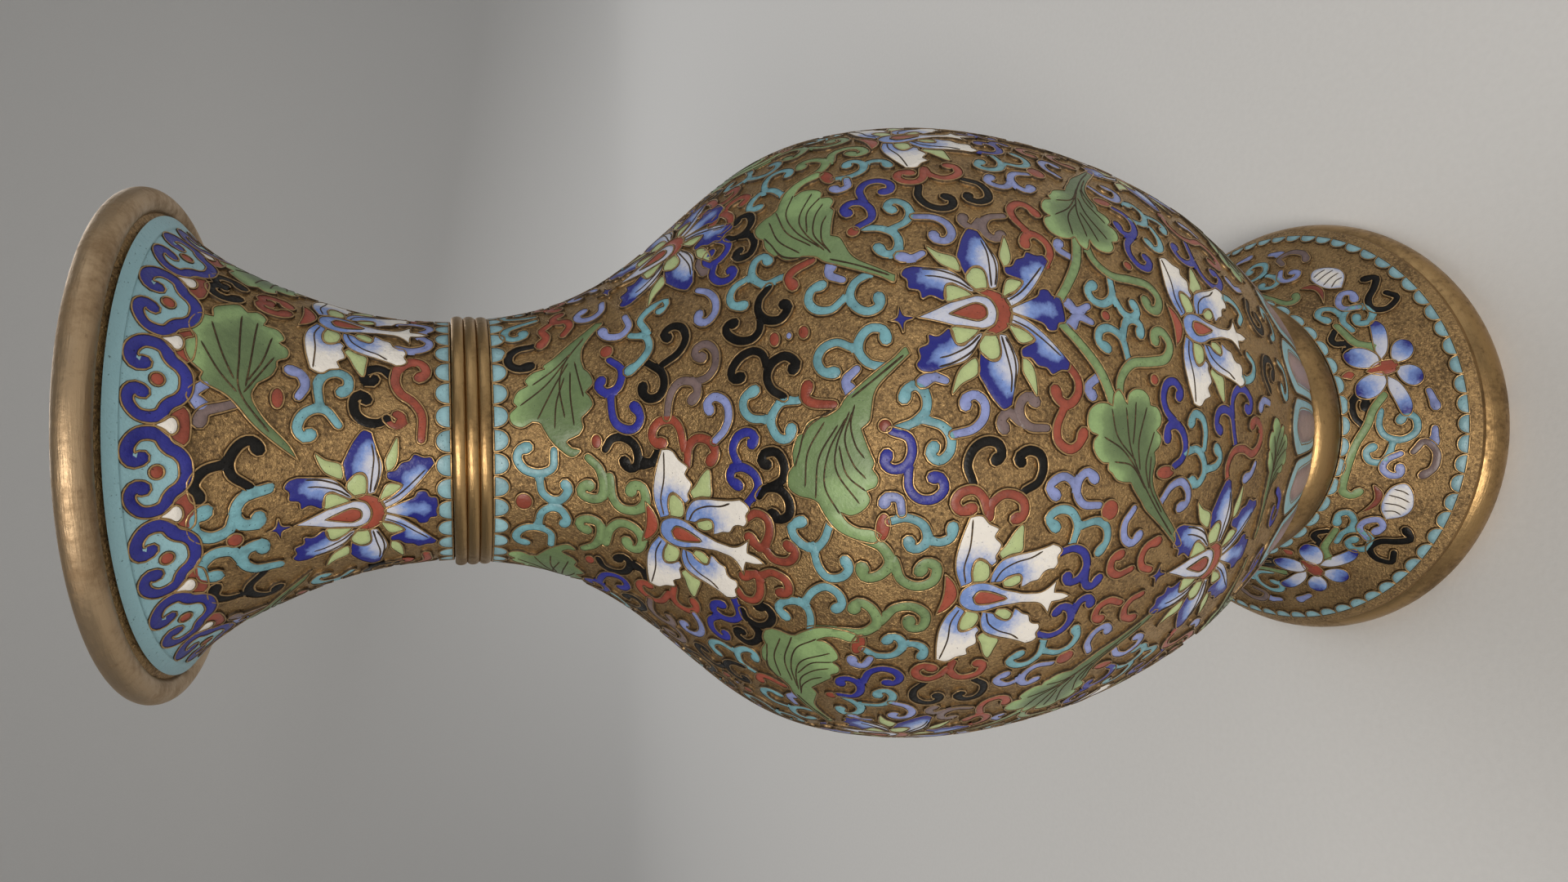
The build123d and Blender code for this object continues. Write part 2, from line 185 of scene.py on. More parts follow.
def smooth(points, step=CURVE_STEP):
    """A Catmull-Rom curve through given points, sampled evenly."""
    points = np.array(points, float)
    knots = np.vstack([2 * points[0] - points[1], points, 2 * points[-1] - points[-2]])
    t = np.linspace(0, 1, CURVE_SAMPLES, endpoint=False)[:, None]
    runs = []
    for a, b, c, d in zip(knots, knots[1:], knots[2:], knots[3:]):
        bend, twist = 2 * a - 5 * b + 4 * c - d, 3 * b - a - 3 * c + d
        runs.append(0.5 * (2 * b + (c - a) * t + bend * t**2 + twist * t**3))
    dense = np.vstack(runs + [points[-1:]])
    length = lengths(dense)
    count = max(int(round(length[-1] / step)), 4)
    even = np.linspace(0, length[-1], count + 1)
    return np.stack([np.interp(even, length, dense[:, axis]) for axis in (0, 1)], 1)


def outline(*strokes):
    """A closed outline of smooth strokes that meet at corners."""
    runs = []
    for index, stroke in enumerate(strokes):
        following = strokes[(index + 1) % len(strokes)]
        runs.append(smooth(list(stroke) + [following[0]])[:-1])
    return np.vstack(runs)


def normals(points, closed):
    """Unit normals to the left of a run of points."""
    if closed:
        along = np.roll(points, -1, 0) - np.roll(points, 1, 0)
    else:
        along = np.gradient(points, axis=0)
    along /= np.maximum(np.linalg.norm(along, axis=1, keepdims=True), 1e-9)
    return np.stack([-along[:, 1], along[:, 0]], 1)


def ribbon(path, width, bulb=1.25, tail=0.85):
    """The outline of a stroke with a round bulb at its first point and a narrower tail."""
    length = lengths(path)
    places = [0, 0.6, 1.5, max(1.6, length[-1] * 0.45), max(1.7, length[-1])]
    half = width / 2 * np.interp(length, places, [bulb, bulb, 1, 1, tail])
    side = normals(path, False)
    left, right = path + side * half[:, None], path - side * half[:, None]
    caps = []
    for end, turn in ((0, 1), (-1, -1)):
        across = side[end] * half[end]
        ahead = np.array([across[1], -across[0]]) * -turn
        angles = np.radians([45, 90, 135])[:, None]
        caps.append(path[end] - turn * across * np.cos(angles) + ahead * np.sin(angles))
    return np.vstack([left, caps[1], right[::-1], caps[0]])


def sided(points, side):
    """The points as they are for side 1, or mirrored for side -1."""
    return np.array(points, float) * (side, 1)


def mirror(points):
    return sided(points, -1)


def symmetrical(half):
    """A closed run of points from its right half, which starts on the axis."""
    return half + [(-x, y) for x, y in reversed(half) if x]


def turned(points, degrees, scale):
    turn = math.radians(degrees)
    matrix = np.array([[math.cos(turn), math.sin(turn)], [-math.sin(turn), math.cos(turn)]])
    return points @ matrix * scale


def distance_to(points, line, closed):
    """Distance from each point to a polyline."""
    start, end = (line, np.roll(line, -1, 0)) if closed else (line[:-1], line[1:])
    run = end - start
    share = ((points[:, None] - start) * run).sum(2) / np.maximum((run**2).sum(1), 1e-12)
    foot = start + np.clip(share, 0, 1)[..., None] * run
    return np.linalg.norm(points[:, None] - foot, axis=2).min(1)


def inside(points, ring):
    """True for points inside a closed outline."""
    x, y = points[:, 0:1], points[:, 1:2]
    x0, y0 = ring.T
    x1, y1 = np.roll(ring, -1, 0).T
    crosses = (y0 > y) != (y1 > y)
    rise = np.where(np.abs(y1 - y0) < 1e-9, 1e-9, y1 - y0)
    return (crosses & (x < (x1 - x0) * (y - y0) / rise + x0)).sum(1) % 2 == 1


class Flat:
    """A flat mesh in mm: points (across, along, proud), faces, and a tone for each point."""

    def __init__(self, points, faces, tone, ring=None):
        self.points, self.faces, self.tone, self.ring = points, faces, tone, ring


EDGE_HEIGHT, SHOULDER_HEIGHT, CROWN_HEIGHT = 0.34, 0.46, 0.51
SHOULDER = 0.24     # how far in from its edge a cell is rounded
LATTICE = 0.95      # between the points inside a cell
WELD = 1e-5


def cell(ring, tone, crown=CROWN_HEIGHT, lift=0.0):
    """An enamel cell: rounded at its edge and slightly crowned, filling a closed outline."""
    area = np.sum(ring[:, 0] * np.roll(ring[:, 1], -1) - np.roll(ring[:, 0], -1) * ring[:, 1])
    inset = ring + normals(ring, True) * SHOULDER * (1 if area > 0 else -1)
    inset = inset[(distance_to(inset, ring, True) > SHOULDER * 0.8) & inside(inset, ring)]
    (left, low), (right, high) = ring.min(0), ring.max(0)
    xs, ys = np.arange(left, right, LATTICE), np.arange(low, high, LATTICE * 0.87)
    lattice = [(x + (row % 2) * LATTICE / 2, y) for row, y in enumerate(ys) for x in xs]
    lattice = np.array(lattice).reshape(-1, 2)
    lattice = lattice[inside(lattice, ring)]
    lattice = lattice[distance_to(lattice, ring, True) > SHOULDER * 2.2]
    points = np.vstack([ring, inset, lattice])
    made = delaunay_2d_cdt([Vector(p) for p in points], [], [list(range(len(ring)))], 1, WELD)
    flat = np.array([(v.x, v.y) for v in made[0]])
    depth = distance_to(flat, ring, True)
    height = lift + np.interp(depth, [0, SHOULDER, 3 * SHOULDER], [EDGE_HEIGHT, SHOULDER_HEIGHT, crown])
    return Flat(np.column_stack([flat, height]), [np.array(made[2])], tone(flat, depth), ring)


# Across a wire: offset, height, and how dark it is: patina and solder, and painted shade down its sides and
# at its foot.
WIRE_PROFILE = [(-0.25, 0.0, 0.4), (-0.16, 0.47, 0.85), (-0.07, 0.56, 0.3),
                (0.07, 0.56, 0.3), (0.16, 0.47, 0.85), (0.25, 0.0, 0.4)]
WIRE_END = 0.35     # an open wire's width at its ends, as a share
# Across a vein wire: the same, darker at its edges with patina and with painted shade.
VEIN_PROFILE = [(-0.17, 0.46, 1.0), (-0.07, 0.59, 0.7), (0.07, 0.59, 0.7), (0.17, 0.46, 1.0)]


def wire(path, closed=True, profile=WIRE_PROFILE, lift=0.0):
    """A flattened brass wire along a path; its tone darkens towards the solder at its foot, with patina and
    with painted shade down its sides.
    """
    side = normals(path, closed)
    taper = np.ones(len(path))
    if not closed:
        taper[[0, -1]] = WIRE_END
    rows = []
    for offset, height, tone in profile:
        shift = side * (offset * taper)[:, None]
        level = np.full((len(path), 2), (height + lift, tone))
        rows.append(np.hstack([path + shift, level]))
    wide = len(rows)
    grid = np.stack(rows, 1).reshape(-1, 4)
    count = len(path)
    faces = []
    for index in range(count if closed else count - 1):
        near, far = index * wide, (index + 1) % count * wide
        faces += [(near + k, near + k + 1, far + k + 1, far + k) for k in range(wide - 1)]
    return Flat(grid[:, :3], [np.array(faces)], grid[:, 3])


class Heap:
    """Collects laid copies of flat meshes under piece names, then makes one object of each."""

    def __init__(self):
        self.pieces = {}
        self.outlines = []
        self.random = np.random.default_rng(7)

    def lay(self, name, flat, surface, angle, height, mirrored=False, shade=0.5):
        points = flat.points * ((-1, 1, 1) if mirrored else (1, 1, 1))
        entry = self.pieces.setdefault(name, [])
        entry.append((surface.wrap(points, angle, height), flat.faces, flat.tone, shade, mirrored))

    def make(self, name, finish, slot, *replaced):
        """One mesh object of everything laid under a name."""
        entries = self.pieces.pop(name)
        starts = np.cumsum([0] + [len(points) for points, *_ in entries])
        points = np.vstack([entry[0] for entry in entries])
        loops, sizes = [], []
        for start, (_, faces, _, _, mirrored) in zip(starts, entries):
            for block in faces:
                block = block[:, ::-1] if mirrored else block
                loops.append((block + start).ravel())
                sizes.append(np.full(len(block), block.shape[1]))
        loops, sizes = np.concatenate(loops), np.concatenate(sizes)
        mesh = bpy.data.meshes.new(name)
        mesh.vertices.add(len(points))
        mesh.vertices.foreach_set("co", points.ravel())
        mesh.loops.add(len(loops))
        mesh.loops.foreach_set("vertex_index", loops)
        mesh.polygons.add(len(sizes))
        mesh.polygons.foreach_set("loop_start", np.concatenate([[0], np.cumsum(sizes)[:-1]]))
        mesh.update(calc_edges=True)
        tones = np.concatenate([entry[2] for entry in entries])
        shades = np.concatenate([np.full(len(entry[0]), entry[3]) for entry in entries])
        for label, values in (("tone", tones), ("shade", shades)):
            painted = mesh.attributes.new(label, "FLOAT", "POINT")
            painted.data.foreach_set("value", values.astype(np.float32))
        mesh.validate()
        mesh.shade_smooth()
        piece = bpy.data.objects.new(name, mesh)
        bpy.context.scene.collection.objects.link(piece)
        mesh.materials.append(FINISHES[finish])
        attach(piece, "root")
        if replaced:
            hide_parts(*replaced)
        return piece

    def make_wires(self, name):
        return self.make(name, "wire", "gilt_brass")


HEAP = Heap()
FINISHES = {}


def lay_all(parts, zone, height, places):
    """Lays (piece name, flat mesh) pairs as one motif at each place, with one shade a copy."""
    for angle, mirrored in places:
        shade = float(HEAP.random.uniform(0.2, 0.8))
        for name, flat in parts:
            HEAP.lay(name, flat, zone, angle, height, mirrored, shade)
            if flat.ring is not None:
                ring = mirror(flat.ring) if mirrored else flat.ring
                HEAP.outlines.append((zone, zone.traced(ring, angle, height)))


def enamel(name, ring, tone, wires=None, crown=CROWN_HEIGHT, lift=0.0):
    """A filled cell and the wire round it, as (piece name, flat mesh) pairs."""
    pairs = [(name, cell(ring, tone, crown, lift))]
    if wires:
        pairs.append((wires, wire(ring, lift=lift)))
    return pairs


def vein(wires, points):
    return (wires, wire(smooth(points), closed=False, profile=VEIN_PROFILE))


def shaded_from(line, distances, tones):
    """A tone set by the distance from a line, for petals painted from the tip to the root."""
    line = smooth(line)
    return lambda points, depth: np.interp(distance_to(points, line, False), distances, tones)


def even_tone(value):
    return lambda points, depth: np.full(len(points), value)


def rim_tone(width, rim, middle):
    """A tone that changes from the rim of a cell to its middle."""
    return lambda points, depth: np.interp(depth, [0.2, width], [rim, middle])


# ---------------------------------------------------------------- flowers
LOTUS_DROP = symmetrical([(0, 6.0), (0.9, 3.6), (1.4, 1.8), (0.9, 0.5), (0, 0.2)])
LOTUS_BAND = symmetrical([(0, 11.0), (0.5, 9.4), (1.1, 7.6), (1.9, 5.5), (2.5, 3), (2.7, 1), (2.0, -0.7),
                          (0, -1.4)])
LOTUS_CUP = ([(3.6, 1.6), (3.7, -0.6), (2.5, -2.9), (0, -3.8), (-2.5, -2.9), (-3.7, -0.6)],
             [(-3.6, 1.6), (-2.7, 0.3), (-2.0, -0.8), (0, -1.5), (2.0, -0.8), (2.7, 0.3)])
LOTUS_CROSS = symmetrical([(0, 15.0), (0.5, 13.7), (2.3, 13.1), (0.6, 12.7), (0.2, 11.4)])
LOTUS_PETALS = [dict(head=[(2.2, 6.6), (3.2, 8.2), (2.8, 9.6), (4.2, 9.8), (4.8, 11.3), (6.2, 11.2),
                           (7.2, 11.9), (8.3, 11.2), (8.6, 9.8)],
                     sides=[[(8.6, 9.8), (8.0, 7.0), (7.4, 4.6), (6.0, 3.0), (4.6, 2.0)],
                            [(3.4, 1.0), (3.3, 2.0), (4.3, 3.6), (5.0, 4.6), (4.6, 5.7), (2.6, 6.0)]],
                     veins=[[(3.6, 1.8), (5.2, 3.8), (6.3, 6.6), (6.6, 8.4)],
                            [(4.2, 1.9), (6.0, 3.4), (7.4, 6.2), (7.9, 8.6)]]),
                dict(head=[(6.3, 2.3), (7.8, 2.6), (9.6, 2.8), (11, 2.2), (12.6, 1.4), (13.8, 0.6),
                           (15, -0.6), (14.4, -2.0)],
                     sides=[[(14.4, -2.0), (12.8, -2.4), (10.8, -3.0), (8.4, -3.6), (5.8, -3.0)],
                            [(3.8, -2.2), (3.8, -1.0), (6.4, -1.0), (7.6, -0.4), (7.6, 0.8), (6.6, 1.8)]],
                     veins=[[(4.0, -1.4), (6.8, -1.8), (10, -2.2), (12.5, -1.9)],
                            [(4.2, -2.0), (6.5, -2.8), (9, -3.0), (12, -2.5)]]),
                dict(head=[(5.6, -5.2), (6.2, -4.2), (7.4, -4.3), (7.6, -5.6), (8.8, -6.6), (9.2, -8.0),
                           (10.2, -8.8), (9.6, -10.4), (9.6, -11.6), (8.4, -12.2)],
                     sides=[[(8.4, -12.2), (7.4, -11.4), (5.4, -9.8), (3.6, -8.2), (1.8, -6.2), (0.8, -4.4)],
                            [(0.6, -3.6), (2.2, -3.2), (3.2, -5.2), (4.6, -6.7), (5.2, -6.2)]],
                     veins=[[(1.6, -3.6), (3.0, -6.0), (5.2, -8.4), (7.4, -10.6)]])]
LOTUS_BASE = ([(0.9, -5.0), (1.8, -7.4), (2.4, -8.6), (3.4, -9.2), (3.4, -10.6), (2.3, -11.2), (2.0, -12.4),
               (0, -12.6), (-2.0, -12.4), (-2.3, -11.2), (-3.4, -10.6), (-3.4, -9.2), (-2.4, -8.6),
               (-1.8, -7.4), (-0.9, -5.0)], [(-0.3, -3.6), (0.3, -3.6)])
LOTUS_SEPALS = [[(2.6, 1.6), (2.0, 5.9), (4.4, 5.8), (4.8, 4.8), (4.0, 3.0)],
                [(7.2, 3.8), (8.5, 5.6), (10.4, 6.6), (12.2, 7.0), (10.8, 5.4), (9.8, 3.2), (8.6, 2.6),
                 (7.0, 2.9)],
                [(3.2, 1.0), (4.8, 2.2), (6.2, 2.2), (7.5, 0.9), (7.3, -0.5), (6.2, -1.0), (4.0, -0.8),
                 (3.4, 0)],
                [(2.1, -2.6), (4.5, -3.6), (5.3, -4.4), (5.2, -5.6), (4.6, -6.6), (3.2, -5.4), (2.3, -4.0)],
                [(7.4, -4.2), (9.4, -4.0), (11.4, -4.9), (13.4, -6.1), (10.4, -6.2), (8.6, -5.8),
                 (7.6, -5.0)]]


HEART_LIFT = 0.14
# A lotus petal's tones: cobalt along its jagged head, then periwinkle, then nearly white.
PETAL_DEPTHS, PETAL_TONES = [0.5, 1.2, 1.9, 3.0, 4.4], [1, 0.86, 0.5, 0.28, 0.0]
SEPAL_TONE = rim_tone(0.8, 0.4, 0.1)


def lotus(petals, hearts, sepals, wires):
    """A blue lotus seen from the side, with a red drop at its heart."""
    parts = enamel(hearts, outline(LOTUS_DROP), even_tone(0.25), wires, lift=HEART_LIFT)
    parts += enamel(petals, outline(LOTUS_BAND), rim_tone(0.9, 0.15, 0.0), wires)
    parts += enamel(hearts, outline(*LOTUS_CUP), even_tone(0.2), wires)
    parts += enamel(petals, outline(LOTUS_CROSS), even_tone(0.85), wires)
    base_tip = LOTUS_BASE[0][2:13]
    parts += enamel(petals, outline(*LOTUS_BASE), shaded_from(base_tip, PETAL_DEPTHS, PETAL_TONES), wires)
    for side in (1, -1):
        for petal in LOTUS_PETALS:
            head = sided(petal["head"], side)
            ring = outline(head, *[sided(stroke, side) for stroke in petal["sides"]])
            parts += enamel(petals, ring, shaded_from(head, PETAL_DEPTHS, PETAL_TONES), wires)
            parts += [vein(wires, sided(line, side)) for line in petal["veins"]]
        for sepal in LOTUS_SEPALS:
            parts += enamel(sepals, outline(sided(sepal, side)), SEPAL_TONE, wires)
    return parts


WHITE_DROP = symmetrical([(0, 3.5), (1.1, 2.8), (1.1, 1.2), (0.6, -0.6), (0, -1.9)])
WHITE_BAND = [[(0, 5.7), (1.2, 5.4), (2.2, 4.2), (2.6, 2.6), (2.4, 1.0), (1.6, -1.0), (1.2, -3.0),
               (0.9, -4.5), (0.9, -6), (1.0, -7.4), (1.7, -8.6)], [(3.3, -10.0), (1.9, -9.9)],
              [(0.9, -10.0), (0.7, -11.6)]]
WHITE_CALYX = ([(-3.7, 8.6), (0, 8.2), (3.7, 8.6)],
               [(3.7, 8.6), (2.6, 7.2), (1.2, 6.3), (0, 6.0), (-1.2, 6.3), (-2.6, 7.2)])
WHITE_WING = dict(tip=[(12.9, 6.1), (13.3, 5), (13.2, 4), (12.2, 3), (11.8, 2), (11.4, 1.3), (10.2, 1.8),
                       (9.6, 1.2), (9.0, 0.6), (8.0, 0.8), (7.0, 1.2), (6.2, 0.9), (5.4, 1.6)],
                  rest=[[(5.4, 1.6), (6.0, 2.6), (6.4, 3.6), (5.8, 4.4), (4.0, 4.5), (2.6, 4.2)],
                        [(1.6, 5.8), (2.4, 6.2), (4.0, 7.0), (6.4, 7.4), (9.6, 7.0)]],
                  vein=[(2.4, 5.2), (5.0, 5.9), (8.4, 5.5), (12.6, 5.6)])
WHITE_SKIRT = dict(tip=[(9.2, -7.8), (8.8, -9.0), (8.0, -9.6), (7.0, -9.1), (6.0, -9.4), (5.0, -8.9),
                        (4.9, -8.0), (4.4, -7.2), (3.2, -6.6), (2.8, -5.4), (2.1, -4.4)],
                   rest=[[(1.9, -3.8), (4.0, -3.4), (4.1, -2.4), (3.6, -1.2), (2.8, -0.4)],
                         [(2.6, 1.4), (4.4, 1.3), (6.4, 0.2), (7.4, -2.0), (8.0, -4.4), (8.6, -6.4)]],
                   vein=[(2.8, 0.7), (4.8, -0.2), (6.2, -2.2), (7.0, -4.6), (8.0, -6.2)])
WHITE_SEPALS = [[(2.5, 4.1), (4.2, 4.6), (5.8, 4.5), (6.6, 3.8), (6.2, 2.6), (5.3, 1.9), (3.8, 1.6),
                 (2.8, 2.2)],
                [(6.6, 0.2), (7.6, 0.9), (9.0, 0), (10.8, -0.9), (12.2, -2.0), (12.0, -2.6), (10.2, -2.8),
                 (8.0, -2.9), (7.4, -1.2)],
                [(2.0, -1.0), (2.9, -0.6), (3.6, -1.6), (4.1, -2.6), (3.9, -3.5), (3.0, -3.7), (2.4, -3.2),
                 (1.9, -2.2)]]


WHITE_TIP = (0, -13.2)
BAND_HEIGHTS, BAND_TONES = [-9, -4, 0, 3], [0, 0.3, 0.5, 0.58]
ROOT_REACHES, ROOT_TONES = [2.0, 4.2, 6.2, 8.0], [0.6, 0.44, 0.16, 0.0]


def far_side(strokes, tip):
    """The strokes of the left half, from the tip back up, which mirror those of the right half."""
    corners = [tip] + [(-stroke[0][0], stroke[0][1]) for stroke in strokes[:0:-1]]
    mirrored = [[(-x, y) for x, y in stroke[:0:-1]] for stroke in strokes[::-1]]
    return [[corner] + stroke for corner, stroke in zip(corners, mirrored)]


def reached_from(place, reaches, tones):
    """A tone set by the distance from a point."""
    return lambda points, depth: np.interp(np.linalg.norm(points - place, axis=1), reaches, tones)


def white_flower(petals, hearts, sepals, wires):
    """A white flower like a butterfly, its petals blue at the root."""
    parts = enamel(hearts, outline(WHITE_DROP), even_tone(0.25), wires, lift=HEART_LIFT)
    band_tone = lambda points, depth: np.interp(points[:, 1], BAND_HEIGHTS, BAND_TONES)
    parts += enamel(petals, outline(*WHITE_BAND, *far_side(WHITE_BAND, WHITE_TIP)), band_tone, wires)
    parts += enamel(hearts, outline(*WHITE_CALYX), even_tone(0.25), wires)
    for side in (1, -1):
        for petal in (WHITE_WING, WHITE_SKIRT):
            strokes = [sided(stroke, side) for stroke in [petal["tip"]] + petal["rest"]]
            tone = reached_from(strokes[1][-1], ROOT_REACHES, ROOT_TONES)
            parts += enamel(petals, outline(*strokes), tone, wires)
            parts.append(vein(wires, sided(petal["vein"], side)))
        for sepal in WHITE_SEPALS:
            parts += enamel(sepals, outline(sided(sepal, side)), SEPAL_TONE, wires)
    return parts


# Each petal's outline and the place of its blue tip.
FOOT_PETALS = [([(-0.8, 1.4), (-3.2, 1.2), (-5.4, 3.0), (-6.0, 5.4), (-4.8, 7.4), (-2.6, 7.2), (-1.2, 5.6),
                 (-0.6, 3.4)], (-4.2, 7.8)),
               ([(-1.8, 0.9), (-4.6, 1.3), (-8, 0.4), (-10.8, -0.6), (-11.2, -2), (-9.2, -2.7), (-6, -2),
                 (-3.4, -0.8)], (-11.4, -1.6)),
               ([(-0.4, -1.3), (-2.2, -1.0), (-4.4, -2.0), (-5.4, -3.8), (-4.4, -5.4), (-2.2, -5.4),
                 (-0.6, -3.8)], (-4.8, -6.0))]
TIP_REACHES, TIP_TONES = [0.9, 2.2, 3.8, 6.0], [0.92, 0.62, 0.32, 0.02]
FOOT_DROP = symmetrical([(0, 4.6), (1.4, 2.2), (1.6, 0), (0.9, -1.6)])
FOOT_TIP = [(-1.0, 7.6), (0, 9.4), (1.0, 7.6), (0, 6.6)]
BUD = [(-31, 15.6), (-28, 16.9), (-24, 17.2), (-20, 16.7), (-18, 15.2), (-20.4, 14), (-24.6, 13.4),
       (-28, 13.9)]
BUD_VEINS = [[(-28.4, 16.4), (-27.4, 15.2), (-27.8, 14.3)], [(-25.8, 16.8), (-25.2, 15.2), (-25.6, 14)],
             [(-22.8, 16.7), (-22.8, 15.2), (-23.4, 14)], [(-20.6, 16.3), (-20.6, 15.2), (-21.2, 14.4)]]
BUD_CALYX = [(-32.5, 19.4), (-29, 18.7), (-25, 18.3), (-20.6, 19.2), (-22.6, 17.5), (-27.4, 17.5)]


def foot_flower(petals, hearts, wires):
    """A small blue flower with a red heart and a red tip."""
    parts = enamel(hearts, outline(FOOT_DROP), even_tone(0.4), wires)
    parts += enamel(hearts, outline(FOOT_TIP), even_tone(0.4), wires)
    for side in (1, -1):
        for petal, tip in FOOT_PETALS:
            tone = reached_from(sided(tip, side), TIP_REACHES, TIP_TONES)
            parts += enamel(petals, outline(sided(petal, side)), tone, wires)
    return parts


# ---------------------------------------------------------------- leaves
# The comb and fan leaves are flat mm; the shoulder and neck leaves are (angle, height) points.
COMB_LEAF = dict(blade=[[(-6.2, 5.0), (-5.8, 7.0), (-4.6, 8.6), (-2.4, 8.7)],
                        [(-1.2, 7.9), (0.8, 8.1), (3.2, 7.3)], [(3.6, 6.5), (5.2, 5.6), (6.1, 3.9)],
                        [(6.2, 2.8), (7.4, 0.9), (9, -0.2), (10.6, -2.0), (12.6, -4.4), (15, -7.6),
                         (16.8, -9.6)],
                        [(15.6, -10.2), (13, -7.4), (11, -5.4), (9.4, -4.5), (7.4, -4.1), (5.6, -3.7)],
                        [(4.5, -2.5), (3, -3.0), (1, -3.8), (-0.4, -4.4)],
                        [(-1.3, -4.1), (-2.6, -5.0), (-4.0, -4.7)],
                        [(-4.6, -3.4), (-5.8, -4.0), (-7, -3.6), (-8.1, -2.4), (-8.5, -1.0)],
                        [(-8.0, 0.2), (-9.4, -1.0), (-10.2, -2.6), (-10.4, -4.6)],
                        [(-11.2, -6.0), (-12.5, -5.2), (-12.3, -3), (-11.5, -0.6), (-10.3, 1.2),
                         (-8.4, 2.8)], [(-6.8, 3.8), (-6.4, 4.4)]],
                 rim=[(-12, -5), (-10.6, 0.6), (-8, -1.6), (-6.6, -3.4), (-4, -3), (-5, 1)],
                 tones=[0.0, 0.12, 0.45],
                 veins=[[(7.5, 1.2), (4.5, 5.6), (0.6, 7.0), (-1.4, 7.6)],
                        [(5.4, 3), (0.8, 5.6), (-4.4, 5.9)], [(5, 1), (0, 3.9), (-6, 4.2)],
                        [(6, -0.2), (1, 2.4), (-4, 2.9), (-8.2, 0.4)],
                        [(7, -0.8), (2, 1.2), (-2, 1.1), (-6.5, -2.4)],
                        [(2, 0.9), (-2.2, -0.3), (-4.6, -3.2)],
                        [(7, -1.2), (3, 0), (-0.6, -1.2), (-2.8, -3.2)],
                        [(8, -1.6), (5, -0.9), (2, -1.6), (0.2, -2.9)], [(9, -1.2), (12, -5), (15.4, -9.2)]])
FAN_LEAF = dict(blade=[[(-16.4, -14.4), (-12.4, -9.4), (-9.6, -5.6), (-8, -4.2), (-6.4, -2.7)],
                       [(-5.0, -1.7), (-4.9, -0.2), (-4.4, 1.2)], [(-3.4, 2.1), (-2.8, 2.9)],
                       [(-1.8, 2.9), (-1.7, 4.0), (-0.6, 5.2), (0.8, 5.8), (1.9, 5.6)],
                       [(2.5, 4.9), (3.0, 6.2), (4.4, 6.8), (6.2, 6.4), (7.3, 4.9), (7.4, 3.2)],
                       [(6.9, 2.0), (8.6, 1.6), (9.4, 0.6), (8.6, -0.2)],
                       [(7.2, -0.9), (8.6, -1.2), (9.5, -2.6), (9.4, -4.3), (8.4, -5.5)],
                       [(7.0, -5.8), (6.6, -7.2), (5.2, -8.0), (3.8, -7.8)],
                       [(3.0, -6.9), (2.0, -7.9), (0.6, -7.6)],
                       [(-0.4, -6.5), (-1.8, -6.8), (-4, -6.4), (-6.4, -7.1), (-9.6, -9.6), (-12.6, -12.6),
                        (-15.8, -15.4)]],
                rim=[(-4, 1), (-1.2, 4.6), (2.8, 5.4), (7.2, 4.6), (9, -0.2), (9, -5), (6, -7.6),
                     (1.6, -7.8)], tones=[0.0, 0.5, 1.0],
                veins=[[(-14, -12.4), (-9, -7.4), (-4, -3.6), (1, -1.2), (6.6, -0.6)],
                       [(-4, -3.6), (0, 0), (2.2, 3.8)], [(-6, -4.8), (-2.4, -1.8), (-1.6, 1.8)],
                       [(-1.6, -2.4), (2.2, 1.2), (6.4, 2.2)], [(-3, -3.4), (1.4, -3), (6.6, -4.8)],
                       [(-6, -5.6), (-2, -4.6), (2.8, -6.2)], [(-10, -9), (-5.6, -5.8), (-1, -5.6)],
                       [(1, -1.8), (4, -2.2), (7.4, -2.6)]])
SHOULDER_LEAF = dict(blade=[[(46, 185), (42, 187.8), (38, 190.2), (34, 192.2), (31, 194)],
                            [(29.4, 193.8), (28.4, 195.6), (25, 197)],
                            [(22.6, 196.6), (20.4, 198.2), (16, 199.0)],
                            [(13.8, 198.4), (10.6, 199.6), (6.4, 199.2), (4.8, 197.6)],
                            [(7.0, 196), (6.4, 194.9), (4, 194.4)],
                            [(0, 193.5), (-4, 192), (-7, 190), (-4.2, 188.6)],
                            [(-3.2, 190), (-1, 190.8), (0.4, 189.8)],
                            [(1.4, 188.9), (4, 188.2), (7.4, 188.4)],
                            [(9, 187.7), (12, 186.6), (15.2, 187.0)],
                            [(17, 187.6), (20, 186.4), (24, 186.8)],
                            [(26.4, 187.6), (31, 187.9), (36, 187.4), (41, 185.6), (44.4, 183.8)]],
                     rim=[(30.6, 193.8), (24, 196.8), (14, 198.8), (5.4, 198.8)], tones=[0.1, 0.4, 0.8],
                     veins=[[(40, 187.2), (30, 190.6), (20, 191.6), (8, 191)],
                            [(34, 189.6), (28, 192.4), (22.4, 195.8)],
                            [(32, 190), (22, 193.6), (14, 197.8)], [(30, 190), (20, 192.6), (8, 195.2)],
                            [(26, 189.8), (16, 190), (5, 189.6)], [(30, 189), (23, 188.6), (15.4, 188)],
                            [(24, 190.8), (14, 192.2), (4, 192.6)]])
NECK_LEAF = dict(blade=[[(-6, 229.6), (0, 232.4), (6, 235), (12, 237), (15, 238.4), (18, 241)],
                        [(20.6, 240.9), (24, 242.6), (29, 243.2)], [(31, 242.2), (35, 243), (39.6, 242.2)],
                        [(40.4, 240.6), (44, 240.8), (47, 239.6), (49.4, 238)],
                        [(47, 236.8), (48.6, 235.6), (46.4, 234.4)],
                        [(43, 234.6), (42.6, 232.8), (39, 231.8)],
                        [(36.6, 232.4), (34.6, 231.2), (31, 231.2), (29, 232.4)],
                        [(26.6, 232.4), (23, 233.0)], [(19.6, 234.6), (15, 235.2), (8, 233.6), (0, 230.8)]],
                 rim=[(23, 241.6), (36, 242), (43.6, 238.6), (48, 236.4), (45, 234.6), (37, 231.6)],
                 tones=[0.1, 0.5, 0.9],
                 veins=[[(4, 233.2), (16, 236.6), (28, 237), (44, 237.4)],
                        [(16, 237), (22, 239.2), (30, 241.4)], [(20, 237.4), (28, 239), (38, 240.6)],
                        [(18, 236), (28, 235.6), (43, 235.4)], [(20, 235.8), (28, 234.2), (38, 233.4)],
                        [(16, 236.2), (24, 234.2), (30, 232.9)]])


LEAF_DEPTHS = [0.6, 1.8, 3.6]


